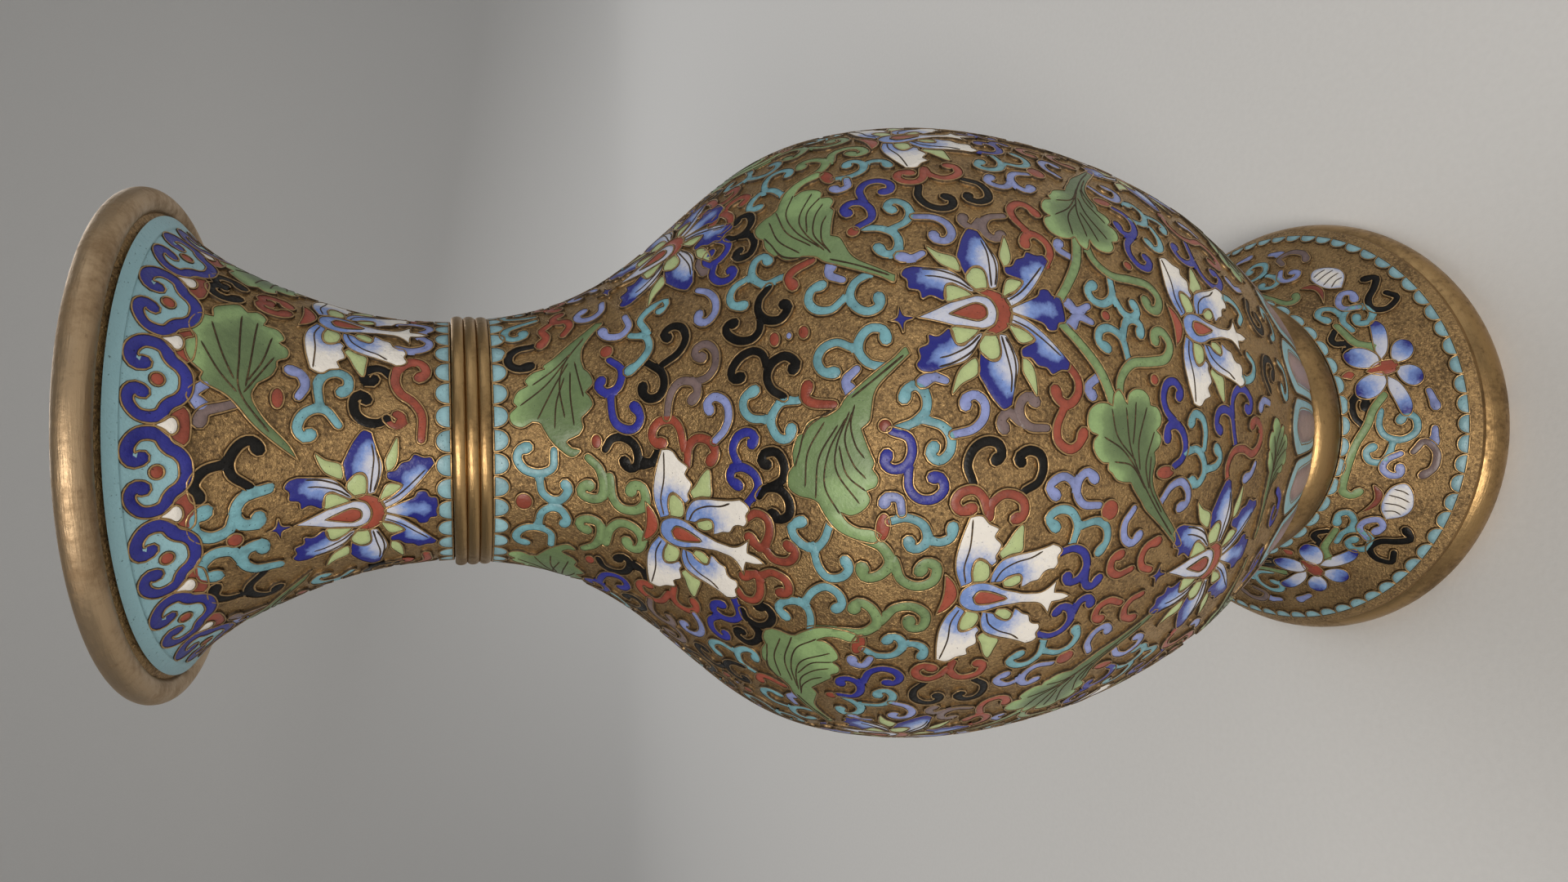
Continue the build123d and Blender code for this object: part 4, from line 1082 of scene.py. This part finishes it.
RUYI_HEADS = 16
RUYI_HEIGHT = 245.8
RUYI_FRONT = -6.2
RUYI_RIBBON = [(-2.0, 1.2), (-1.8, 2.3), (-2.7, 3.0), (-4.0, 2.8), (-5.1, 1.7), (-5.25, 0.2), (-4.7, -1.1),
               (-3.6, -1.7), (-2.9, -2.3), (-2.3, -3.2), (-1.2, -3.95), (0, -4.1)]
CLOUD_HOLLOW = [(1.2, 2.2), (0, 1.7), (-1.2, 2.2)]
RED_DOT = dict(across=0.95, along=0.95, step=24, drop=0.5)
BORDER_DROP = symmetrical([(0, -0.2), (0.6, -1.3), (1.25, -2.4), (0.8, -3.1), (0, -3.3)])
BORDER_WEDGE = ([(-2.7, -3.9), (-2.1, -2.9), (-1.6, -2.3), (-0.8, -1.4),
                 (0, -0.5), (0.8, -1.4), (1.6, -2.3), (2.1, -2.9)],
                [(2.7, -3.9), (1.9, -4.6), (0, -4.8), (-1.9, -4.6)])
BAND_LOW, BAND_TOP = -1.0, 4.3
BAND_PROUD, BAND_LOW_PROUD, BAND_TOP_PROUD = 0.42, 0.1, 0.3
BAND_ROWS, BAND_COLUMNS = 10, 17
BAND_OVERLAP = 1.005    # the pieces of the band run into each other
BAND_SLOPE = 0.72       # rise for each mm along the flare there


def border_band():
    """One cloud head's share of the pale band, a gently raised sheet."""
    half = math.pi / RUYI_HEADS * BAND_OVERLAP
    across = np.linspace(-1, 1, BAND_COLUMNS)
    rows = []
    for along in np.linspace(BAND_LOW, BAND_TOP, BAND_ROWS):
        radius = float(NECK.radius(RUYI_HEIGHT + BAND_SLOPE * along))
        rows.append(np.column_stack([across * half * radius, np.full(BAND_COLUMNS, along)]))
    proud = np.full((BAND_ROWS, BAND_COLUMNS), BAND_PROUD)
    proud[0], proud[-1] = BAND_LOW_PROUD, BAND_TOP_PROUD
    index = np.arange(proud.size).reshape(proud.shape)
    quads = np.stack([index[:-1, :-1], index[:-1, 1:], index[1:, 1:], index[1:, :-1]], -1).reshape(-1, 4)
    points = np.column_stack([np.vstack(rows), proud.ravel()])
    return [("border_band_enamel", Flat(points, [quads], np.full(proud.size, 0.1)))]


def cloud_head():
    """A cloud head outlined in blue, with a red dot."""
    left = smooth(RUYI_RIBBON)
    centre = np.vstack([left, mirror(left[::-1])[1:]])
    fill = outline(np.vstack([centre[6:-6:5], CLOUD_HOLLOW]))
    parts = enamel("cloud_head_enamel", fill, rim_tone(1.6, 0.3, 0.0), crown=0.48)
    edge = ribbon(centre, 1.7, bulb=1.2, tail=1.2)
    parts += enamel("cloud_edge_enamel", edge, even_tone(0.6), "border_wires", lift=0.06)
    return parts + enamel("berry_enamel", disc(**RED_DOT), even_tone(0.2), "border_wires", lift=0.14)


def lay_mouth_border():
    """The border under the mouth: a band, cloud heads, red wedges and white drops."""
    heads = evenly(RUYI_HEADS, RUYI_FRONT)
    gaps = evenly(RUYI_HEADS, RUYI_FRONT + FULL_TURN / RUYI_HEADS / 2)
    lay_all(border_band(), NECK, RUYI_HEIGHT, heads)
    lay_all(cloud_head(), NECK, RUYI_HEIGHT, heads)
    parts = enamel("border_wedge_enamel", outline(*BORDER_WEDGE), even_tone(0.5), "border_wires", crown=0.45)
    parts += enamel("border_drop_enamel", outline(BORDER_DROP), even_tone(0.0), "border_wires", lift=0.1)
    lay_all(parts, NECK, RUYI_HEIGHT, gaps)


# ---------------------------------------------------------------- finishes
class Level:
    """A shader value that Python sums can be written with."""

    def __init__(self, finish, socket):
        self.finish, self.socket = finish, socket

    def maths(self, operation, *values):
        return self.finish.node("Math", {"operation": operation}, dict(enumerate(values)))

    def __add__(self, other):
        return self.maths("ADD", self, other)

    def __sub__(self, other):
        return self.maths("SUBTRACT", self, other)

    def __rsub__(self, other):
        return self.maths("SUBTRACT", other, self)

    def __mul__(self, other):
        return self.maths("MULTIPLY", self, other)

    __radd__ = __add__
    __rmul__ = __mul__

    def ramp(self, low, high):
        """0 below low, 1 above high, and smooth between them."""
        sockets = {"Value": self, "From Min": low, "From Max": high}
        return self.finish.node("MapRange", {"interpolation_type": "SMOOTHSTEP"}, sockets)


class Finish:
    """A procedural material on one shader."""

    def __init__(self, name, **constants):
        self.material = bpy.data.materials.new(name)
        self.material.use_nodes = True
        self.tree = self.material.node_tree
        self.shader = self.tree.nodes["Principled BSDF"]
        for label, value in constants.items():
            self.shader.inputs[label.replace("_", " ")].default_value = value

    def node(self, kind, settings=None, sockets=None, output=0):
        """Any node: its type, its settings, then values or links for its sockets."""
        made = self.tree.nodes.new("ShaderNode" + kind)
        for label, value in (settings or {}).items():
            if label == "stops":
                ramp = made.color_ramp.elements
                while len(ramp) < len(value):
                    ramp.new(0.5)
                for stop, (place, colour) in zip(ramp, value):
                    stop.position, stop.color = place, (*colour[:3], 1)
            else:
                setattr(made, label, value)
        for label, value in (sockets or {}).items():
            self.feed(made.inputs[label], value)
        return Level(self, made.outputs[output])

    def feed(self, socket, value):
        if isinstance(value, Level):
            self.tree.links.new(value.socket, socket)
        else:
            socket.default_value = value

    def noise(self, size_mm, detail=3.0, roughness=0.55, stretch=(1, 1, 1)):
        """Noise with features of a size in mm."""
        place = self.node("TexCoord", output="Object")
        if stretch != (1, 1, 1):
            place = self.node("Mapping", {"vector_type": "POINT"}, {"Vector": place, "Scale": stretch})
        sockets = {"Vector": place, "Scale": 1 / (size_mm * MM), "Detail": detail, "Roughness": roughness}
        return self.node("TexNoise", None, sockets)

    def mix(self, amount, first, second):
        """A colour between two colours."""
        made = self.tree.nodes.new("ShaderNodeMix")
        made.data_type = "RGBA"
        self.feed(made.inputs[0], amount)
        for socket, value in ((made.inputs[6], first), (made.inputs[7], second)):
            self.feed(socket, value if isinstance(value, Level) else (*value, 1))
        return Level(self, made.outputs[2])

    def painted(self, name):
        """A number painted on the mesh's points."""
        return self.node("Attribute", {"attribute_name": name}, output="Fac")

    def finish(self, colour=None, roughness=None, metal=None, coat=None, bumps=()):
        """Links what varies to the shader; bumps are (height value, depth in mm) pairs."""
        varying = {"Base Color": colour, "Roughness": roughness, "Metallic": metal, "Coat Weight": coat}
        for label, value in varying.items():
            if value is not None:
                self.feed(self.shader.inputs[label], value)
        normal = None
        for height, depth in bumps:
            sockets = {"Height": height, "Distance": depth * MM, "Strength": 1.0}
            if normal:
                sockets["Normal"] = normal
            normal = self.node("Bump", None, sockets)
        if normal:
            self.feed(self.shader.inputs["Normal"], normal)
        return self.material


def shade_of(colour, share):
    """A colour darkened, or lightened by a share over 1."""
    return tuple(min(1.0, channel * share) for channel in colour)


def blended(share, first, second):
    """A colour between two, with a share of the first."""
    return tuple(share * a + (1 - share) * b for a, b in zip(first, second))


def enamel_finish(name, light, dark, gloss=0.4, pits=1.0, shine=1.0):
    """Kiln-fired enamel: cloudy between two tints, with pin holes and a soft gloss."""
    made = Finish(name, Roughness=gloss, Coat_Roughness=0.3, IOR=1.45, Specular_IOR_Level=0.5 * shine)
    cloud = made.noise(2.6, 4)
    grain = made.noise(0.45, 2)
    kiln = (made.painted("shade") - 0.5) * 0.4
    tone = made.painted("tone") + (cloud - 0.5) * 0.9 + kiln + (grain - 0.5) * 0.35
    colour = made.mix(tone.ramp(0.0, 1.0), light, dark)
    holes = made.noise(0.32, 1).ramp(0.70, 0.78) * pits
    colour = made.mix(holes * 0.75, colour, shade_of(dark, 0.18))
    chalk = made.noise(6.0, 3).ramp(0.56, 0.74)
    colour = made.mix(chalk * 0.16, colour, tuple(min(1.0, c * 1.3 + 0.04) for c in light))
    roughness = gloss + (grain - 0.5) * 0.12 + holes * 0.3 + chalk * 0.12
    return made.finish(colour, roughness, coat=(0.16 - chalk * 0.1) * shine,
                       bumps=((cloud, 0.22), (grain, 0.06), (1 - holes, 0.08)))


def petal_finish(name, stops, gloss=0.38):
    """Enamel painted along a petal, its tones running into each other in streaks."""
    made = Finish(name, Roughness=gloss, Coat_Roughness=0.3, IOR=1.45)
    cloud, grain = made.noise(1.7, 4, 0.65), made.noise(0.5, 2)
    tone = made.painted("tone") + (cloud - 0.5) * 0.55 + (grain - 0.5) * 0.22
    colour = made.node("ValToRGB", {"stops": stops}, {"Fac": tone})
    holes = made.noise(0.34, 1).ramp(0.71, 0.78)
    colour = made.mix(holes * 0.6, colour, (0.03, 0.03, 0.05))
    roughness = gloss + (grain - 0.5) * 0.14 + holes * 0.3
    return made.finish(colour, roughness, coat=0.16 - holes * 0.15, bumps=((cloud, 0.16), (grain, 0.06)))


def gilt_ground(bright, dark):
    """The gilded ground between the cells: pebbled, dulled to bronze in its hollows, and lighter on the
    pebbles' peaks, partly grain in the gilding and partly painted glints.
    """
    made = Finish("gilt_ground", Specular_IOR_Level=0.5)
    pebble = made.noise(0.45, 3, 0.65)
    patch = made.noise(8.0, 4, 0.6)
    speck = made.noise(0.7, 4, 0.75)
    tarnish = (patch * 0.45 + speck * 0.75 - pebble * 0.2).ramp(0.40, 0.66)
    colour = made.mix(tarnish * 0.85, bright, dark)
    colour = made.mix(speck.ramp(0.60, 0.70) * 0.55, colour, shade_of(dark, 0.42))
    # Lighter gilt on the pebbles' peaks: the gilding's grain, and painted glints.
    colour = made.mix(pebble.ramp(0.55, 0.66) * 0.5, colour, shade_of(bright, 1.7))
    return made.finish(colour, 0.38 + tarnish * 0.22 + (speck - 0.5) * 0.24, 0.86 - tarnish * 0.2,
                       bumps=((pebble, 0.26), (speck, 0.16)))


def brass_finish(name, bright, dark, smoothness=0.34, brushed=(1, 1, 14), stain=0.7):
    """Gilded brass fittings: fine turning marks, handling marks and brown tarnish."""
    made = Finish(name, Metallic=1.0)
    turning = made.noise(3.0, 3, 0.6, stretch=brushed)
    patch = made.noise(14.0, 4, 0.6)
    fleck = made.noise(1.2, 4, 0.7)
    tarnish = (patch * 0.9 + fleck * 0.5).ramp(0.62, 0.92)
    colour = made.mix(tarnish * stain, bright, dark)
    colour = made.mix(fleck.ramp(0.62, 0.74) * 0.4 * stain, colour, shade_of(dark, 0.5))
    return made.finish(colour, smoothness + tarnish * 0.25 + (turning - 0.5) * 0.18,
                       bumps=((turning, 0.05), (fleck, 0.05)))


def wire_finish(bright, dark):
    """Gilded wire: worn bright along its top, dark with solder and patina at its foot, and with painted shade
    down its sides.
    """
    made = Finish("gilt_wire", Specular_IOR_Level=0.5)
    wear = made.noise(0.8, 3, 0.7)
    patch = made.noise(7.0, 3)
    # Painted shade with real patina: the painted tone darkens the wire's sides and foot, where it meets the
    # enamel and the ground.
    patina_and_shade = (made.painted("tone") * 1.1 + (wear - 0.5) * 0.9 + (patch - 0.5) * 0.6).ramp(0.08, 0.85)
    colour = made.mix(patina_and_shade, bright, dark)
    return made.finish(colour, 0.30 + patina_and_shade * 0.35, 0.95 - patina_and_shade * 0.5, bumps=((wear, 0.05),))


def build_finishes():
    """Every finish by name, in the colours chosen in the panel."""
    chosen = bpy.context.scene.vase_colours
    tint = {name: tuple(getattr(chosen, name)) for name in chosen.__annotations__}
    white, turquoise, pale, red = tint["white"], tint["turquoise"], tint["pale"], tint["red"]
    cobalt, periwinkle = tint["cobalt"], tint["periwinkle"]
    lavender, mauve = tint["lavender"], tint["mauve"]
    leaf_green, sepal_green = tint["leaf"], tint["sepal"]
    made = {
        "turquoise": enamel_finish("turquoise_enamel", turquoise, shade_of(turquoise, 0.52)),
        "pale": enamel_finish("pale_turquoise_enamel", pale, shade_of(pale, 0.6)),
        "cobalt": enamel_finish("cobalt_enamel", tuple(c * 1.5 + 0.01 for c in cobalt), cobalt),
        "black": enamel_finish("black_enamel", (0.012, 0.011, 0.010), (0.002, 0.002, 0.002),
                               gloss=0.36, shine=0.35),
        "lavender": enamel_finish("lavender_enamel", lavender, shade_of(lavender, 0.5)),
        "mauve": enamel_finish("mauve_enamel", mauve, shade_of(mauve, 0.5), gloss=0.36),
        "red": enamel_finish("red_enamel", red, shade_of(red, 0.45)),
        "vine": enamel_finish("vine_enamel", shade_of(leaf_green, 1.25), shade_of(leaf_green, 0.5)),
        "leaf": petal_finish("leaf_enamel", [(0.0, shade_of(leaf_green, 1.55)), (0.35, leaf_green),
                                             (0.8, shade_of(leaf_green, 0.68)),
                                             (1.0, shade_of(leaf_green, 0.55))], 0.42),
        "sepal": petal_finish("sepal_enamel", [(0.0, sepal_green), (0.7, shade_of(sepal_green, 0.68)),
                                               (1.0, shade_of(sepal_green, 0.4))]),
        "lotus": petal_finish("lotus_enamel", [(0.05, blended(0.6, white, periwinkle)), (0.40, periwinkle),
                                               (0.64, blended(0.5, periwinkle, cobalt)), (0.80, cobalt)]),
        "white": petal_finish("white_enamel", [(0.1, white), (0.3, blended(0.7, white, periwinkle)),
                                               (0.55, periwinkle), (0.8, shade_of(periwinkle, 0.7))]),
        "lappet": enamel_finish("lappet_enamel", tint["lappet"], shade_of(tint["lappet"], 0.5), gloss=0.36),
        "counter": enamel_finish("counter_enamel", shade_of(turquoise, 0.75), shade_of(turquoise, 0.3),
                                 gloss=0.34, pits=0.6),
        "wire": wire_finish(shade_of(tint["gilt"], 1.35), shade_of(tint["bronze"], 0.4)),
        "ground": gilt_ground(tint["gilt"], tint["bronze"]),
        "brass": brass_finish("brass_fittings", tint["gilt"], tint["bronze"]),
        "mouth": brass_finish("worn_mouth_brass", tint["mouth"], shade_of(tint["bronze"], 1.6),
                              smoothness=0.44, stain=0.45),
    }
    FINISHES.update(made)


# ---------------------------------------------------------------- settings a user may change
def shade_setting(name, description, default):
    return bpy.props.FloatVectorProperty(name=name, description=description, default=default,
                                         size=3, min=0, max=1, subtype="COLOR")


def width_setting(name, description, millimetres, most):
    return bpy.props.FloatProperty(name=name, description=description, default=millimetres * MM,
                                   min=0.6 * MM, max=most * MM, unit="LENGTH")


class VaseColours(bpy.types.PropertyGroup):
    """The colours of the metals and enamels."""

    gilt: shade_setting("Gilt", "The bright gilding", (0.42, 0.27, 0.12))
    bronze: shade_setting("Bronze", "Tarnish in the hollows of the gilding", (0.12, 0.074, 0.036))
    mouth: shade_setting("Mouth rim", "The worn rim of the mouth", (0.50, 0.36, 0.22))
    turquoise: shade_setting("Turquoise", "Turquoise enamel", (0.20, 0.44, 0.50))
    pale: shade_setting("Pale turquoise", "The pale band and scallops", (0.30, 0.52, 0.58))
    cobalt: shade_setting("Cobalt", "Cobalt enamel", (0.014, 0.016, 0.21))
    periwinkle: shade_setting("Periwinkle", "The middle blue of the petals", (0.20, 0.31, 0.66))
    lavender: shade_setting("Lavender", "Lavender enamel", (0.29, 0.34, 0.66))
    mauve: shade_setting("Mauve", "Grey mauve enamel", (0.22, 0.155, 0.15))
    white: shade_setting("White", "White enamel", (0.86, 0.82, 0.76))
    leaf: shade_setting("Leaf", "Leaf green enamel", (0.185, 0.275, 0.115))
    sepal: shade_setting("Sepal", "Yellow-green enamel", (0.50, 0.60, 0.28))
    red: shade_setting("Red", "Iron red enamel", (0.37, 0.075, 0.04))
    lappet: shade_setting("Lappet", "Pink-grey enamel of the petal band", (0.36, 0.25, 0.24))


class VaseSizes(bpy.types.PropertyGroup):
    """The sizes of the enamel work."""

    scroll_width: width_setting("Scroll width", "Width of a scroll's cell", 1.65, 2.5)
    vine_width: width_setting("Vine width", "Width of a vine's cell", 1.85, 3.0)


# ---------------------------------------------------------------- operators
def finish_nodes(material, *nodes):
    """Gives CAD nodes a finish in place of their plain one."""
    for node in nodes:
        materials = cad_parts[node].data.materials
        if not len(materials):
            materials.append(FINISHES[material])
        for index in range(len(materials)):
            materials[index] = FINISHES[material]


class VASE_OT_finishes(bpy.types.Operator):
    """Make every enamel and metal finish in the chosen colours"""

    bl_idname = "vase.finishes"
    bl_label = "Finishes"

    def execute(self, context):
        build_finishes()
        return {"FINISHED"}


class VASE_OT_metal(bpy.types.Operator):
    """Gild the shells and finish the rim, collar, rings and base"""

    bl_idname = "vase.metal"
    bl_label = "Metalwork"

    def execute(self, context):
        finish_nodes("ground", "neck_shell", "upper_body_shell", "lower_body_shell", "foot_shell")
        finish_nodes("brass", "neck_collar", "waist_ring", "foot_rim", "base_plate")
        finish_nodes("mouth", "mouth_rim")
        return {"FINISHED"}


class VASE_OT_linings(bpy.types.Operator):
    """Finish the counter-enamel inside the vase and under its foot"""

    bl_idname = "vase.linings"
    bl_label = "Linings"

    def execute(self, context):
        finish_nodes("counter", "neck_lining", "body_lining", "foot_lining", "base_enamel")
        return {"FINISHED"}


class VASE_OT_flowers(bpy.types.Operator):
    """Lay the four rows of lotuses and white flowers"""

    bl_idname = "vase.flowers"
    bl_label = "Flowers"

    def execute(self, context):
        for row in FLOWERS:
            lay_flowers(row)
        for row in FLOWERS:
            HEAP.make(row + "_lotus_enamel", "lotus", "lotus_enamel", row + "_lotus_petals")
            HEAP.make(row + "_white_enamel", "white", "white_enamel", row + "_white_petals")
            HEAP.make_wires(row + "_flower_wires")
        HEAP.make("sepal_enamel", "sepal", "sepal_enamel", "flower_sepals")
        return {"FINISHED"}


class VASE_OT_leaves(bpy.types.Operator):
    """Lay the four rows of leaves"""

    bl_idname = "vase.leaves"
    bl_label = "Leaves"

    def execute(self, context):
        for row in FLOWERS:
            lay_leaves(row)
            HEAP.make(row + "_leaf_enamel", "leaf", "green_enamel", row + "_leaves")
            HEAP.make_wires(row + "_leaf_wires")
        return {"FINISHED"}


class VASE_OT_foot(bpy.types.Operator):
    """Lay the flowers and buds of the foot"""

    bl_idname = "vase.foot"
    bl_label = "Foot flowers and buds"

    def execute(self, context):
        lay_foot()
        HEAP.make("foot_petal_enamel", "lotus", "lotus_enamel", "foot_flower_petals")
        HEAP.make("foot_bud_enamel", "white", "white_enamel", "foot_buds")
        HEAP.make_wires("foot_wires")
        HEAP.make("heart_enamel", "red", "red_enamel", "flower_hearts", "foot_flower_hearts")
        return {"FINISHED"}


class VASE_OT_scrolls(bpy.types.Operator):
    """Lay the scrolls and vines between the flowers, one piece for each colour"""

    bl_idname = "vase.scrolls"
    bl_label = "Scrolls and vines"

    def execute(self, context):
        lay_scrolls(FOOT, FOOT_SCROLLS, QUARTER, mirrored=False)
        lay_scrolls(BODY, BODY_SCROLLS, EIGHTH)
        lay_scrolls(BODY, SHOULDER_SCROLLS, QUARTER)
        lay_scrolls(NECK, NECK_SCROLLS, QUARTER)
        lay_scrolls(NECK, NECK_CURLS, QUARTER, place=NECK_CURLS_PLACE)
        slots = {"mauve": "lavender_enamel", "vine": "green_enamel"}
        for colour in BODY_SCROLLS:
            replaced = () if colour == "mauve" else (colour + "_scrolls",)
            HEAP.make(colour + "_scroll_enamel", colour, slots.get(colour, colour + "_enamel"), *replaced)
            HEAP.make_wires(colour + "_scroll_wires")
        return {"FINISHED"}


class VASE_OT_borders(bpy.types.Operator):
    """Lay the scallop rows, the petal band and the border under the mouth"""

    bl_idname = "vase.borders"
    bl_label = "Borders"

    def execute(self, context):
        for row in SCALLOPS:
            lay_scallops(row)
            HEAP.make(row + "_scallop_enamel", "pale", "turquoise_enamel", row + "_scallops")
            HEAP.make_wires(row + "_scallop_wires")
        lay_lappets()
        HEAP.make("lappet_border_enamel", "pale", "turquoise_enamel")
        HEAP.make("lappet_field_enamel", "lappet", "lappet_enamel", "lappet_petals")
        HEAP.make_wires("lappet_wires")
        lay_mouth_border()
        HEAP.make("border_band_enamel", "pale", "turquoise_enamel")
        finish_nodes("pale", "mouth_band")
        HEAP.make("cloud_head_enamel", "pale", "turquoise_enamel", "ruyi_heads")
        HEAP.make("cloud_edge_enamel", "cobalt", "cobalt_enamel", "ruyi_outlines")
        HEAP.make("border_wedge_enamel", "red", "red_enamel")
        HEAP.make("border_drop_enamel", "white", "white_enamel", "border_drops")
        HEAP.make_wires("border_wires")
        return {"FINISHED"}


class VASE_OT_berries(bpy.types.Operator):
    """Lay the red berries and the lavender beads"""

    bl_idname = "vase.berries"
    bl_label = "Berries"

    def execute(self, context):
        lay_dots(BERRIES, "berry_enamel", 0.45)
        lay_dots(BEADS, "bead_enamel", 0.3)
        HEAP.make("berry_enamel", "red", "red_enamel", "berries")
        HEAP.make("bead_enamel", "lavender", "lavender_enamel")
        HEAP.make_wires("berry_wires")
        return {"FINISHED"}


MIDDLE = (0.0, 0.0, 0.13)
# Each light: name, place, size, power, colour.
LIGHTS = (("key_light", (-0.30, -1.0, 0.62), 0.5, 7.8, (1.0, 0.94, 0.86)),
          ("fill_light", (0.95, -0.5, 0.35), 0.9, 1.7, (1.0, 1.0, 1.0)),
          ("back_light", (0.3, 0.9, 0.9), 0.8, 3.6, (1.0, 1.0, 1.0)))
AIR_COLOUR, AIR_STRENGTH = (0.80, 0.82, 0.85, 1), 0.19
PAPER_TINTS = (0.80, 0.79, 0.77), (0.86, 0.85, 0.83)
# The paper's floor: half its width and its front, its back, the height of its wall, and its bend's radius.
PAPER_REACH, PAPER_BACK, PAPER_RISE, PAPER_BEND = 3.0, 1.6, 2.5, 0.6
FOCAL, SENSOR = 20.22, 36.0
CAMERA_PLACE = (0.0, -0.17046, 0.20783)
CAMERA_TILT, CAMERA_ROLL, CAMERA_PAN = 0.357045, -0.019477, -0.0067831


def softbox(name, place, size, power, colour):
    """A square area light aimed at the vase's middle."""
    light = bpy.data.lights.new(name, "AREA")
    light.shape, light.size, light.energy, light.color = "SQUARE", size, power, colour
    lamp = bpy.data.objects.new(name, light)
    lamp.location = place
    lamp.rotation_euler = (Vector(place) - Vector(MIDDLE)).to_track_quat("Z", "Y").to_euler()
    bpy.context.scene.collection.objects.link(lamp)


def paper_backdrop(ground):
    """A pale paper floor that bends up into a wall behind the vase."""
    start = PAPER_BACK - PAPER_BEND
    bend = [(start + PAPER_BEND * math.sin(a), PAPER_BEND - PAPER_BEND * math.cos(a))
            for a in np.linspace(0.1, math.pi / 2, 16)]
    profile = [(-PAPER_REACH, 0.0), (start, 0.0)] + bend + [(PAPER_BACK, PAPER_RISE)]
    corners = [(side * PAPER_REACH, y, ground + z) for y, z in profile for side in (-1, 1)]
    faces = [(2 * k, 2 * k + 1, 2 * k + 3, 2 * k + 2) for k in range(len(profile) - 1)]
    mesh = bpy.data.meshes.new("backdrop")
    mesh.from_pydata(corners, [], faces)
    mesh.shade_smooth()
    paper = Finish("studio_paper", Roughness=0.85)
    grain = paper.noise(1.5, 3)
    mesh.materials.append(paper.finish(paper.mix(grain, *PAPER_TINTS), bumps=((grain, 0.05),)))
    backdrop = bpy.data.objects.new("backdrop", mesh)
    bpy.context.scene.collection.objects.link(backdrop)
    backdrop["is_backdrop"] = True


def studio_air():
    """An even, faint light from all round."""
    world = bpy.data.worlds.new("studio")
    world.use_nodes = True
    background = world.node_tree.nodes["Background"]
    background.inputs["Color"].default_value = AIR_COLOUR
    background.inputs["Strength"].default_value = AIR_STRENGTH
    return world


def view_camera():
    """The camera, tipped on its side so that the vase lies across the view."""
    lens = bpy.data.cameras.new("view")
    lens.lens, lens.sensor_width, lens.clip_start = FOCAL, SENSOR, 0.01
    tilt, roll, pan = CAMERA_TILT, CAMERA_ROLL, CAMERA_PAN
    ahead = Vector((math.sin(pan) * math.cos(tilt), math.cos(pan) * math.cos(tilt), -math.sin(tilt)))
    right = Vector((math.cos(pan), -math.sin(pan), 0.0))
    above = right.cross(ahead)
    across = math.cos(roll) * right + math.sin(roll) * above
    upward = -math.sin(roll) * right + math.cos(roll) * above
    turn = Matrix((-upward, across, -ahead)).transposed().to_4x4()
    camera = bpy.data.objects.new("view", lens)
    camera.matrix_world = Matrix.Translation(CAMERA_PLACE) @ turn
    bpy.context.scene.collection.objects.link(camera)
    return camera


class VASE_OT_stage(bpy.types.Operator):
    """Set the pale floor, the studio lights and the camera"""

    bl_idname = "vase.stage"
    bl_label = "Stage"

    def execute(self, context):
        paper_backdrop(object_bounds()[0][2])
        for light in LIGHTS:
            softbox(*light)
        context.scene.view_settings.view_transform = "Standard"
        context.scene.world = studio_air()
        context.scene.camera = view_camera()
        return {"FINISHED"}


class VASE_PT_panel(bpy.types.Panel):
    """The sidebar panel with the vase's settings and steps."""

    bl_idname = "VASE_PT_panel"
    bl_label = "Cloisonne vase"
    bl_space_type = "VIEW_3D"
    bl_region_type = "UI"
    bl_category = "Vase"

    def draw(self, context):
        for settings in (context.scene.vase_colours, context.scene.vase_sizes):
            for name in settings.__annotations__:
                self.layout.prop(settings, name)
        for step in STEPS:
            self.layout.operator(step.bl_idname)


STEPS = (VASE_OT_finishes, VASE_OT_metal, VASE_OT_linings, VASE_OT_flowers, VASE_OT_foot, VASE_OT_leaves,
         VASE_OT_scrolls, VASE_OT_borders, VASE_OT_berries, VASE_OT_stage)
CLASSES = (VaseColours, VaseSizes) + STEPS + (VASE_PT_panel,)


def register():
    for kind in CLASSES:
        bpy.utils.register_class(kind)
    bpy.types.Scene.vase_colours = bpy.props.PointerProperty(type=VaseColours)
    bpy.types.Scene.vase_sizes = bpy.props.PointerProperty(type=VaseSizes)


def unregister():
    del bpy.types.Scene.vase_sizes, bpy.types.Scene.vase_colours
    for kind in reversed(CLASSES):
        bpy.utils.unregister_class(kind)


def main():
    register()
    for step in STEPS:
        group, name = step.bl_idname.split(".")
        getattr(getattr(bpy.ops, group), name)()


if __name__ == "__main__":
    main()
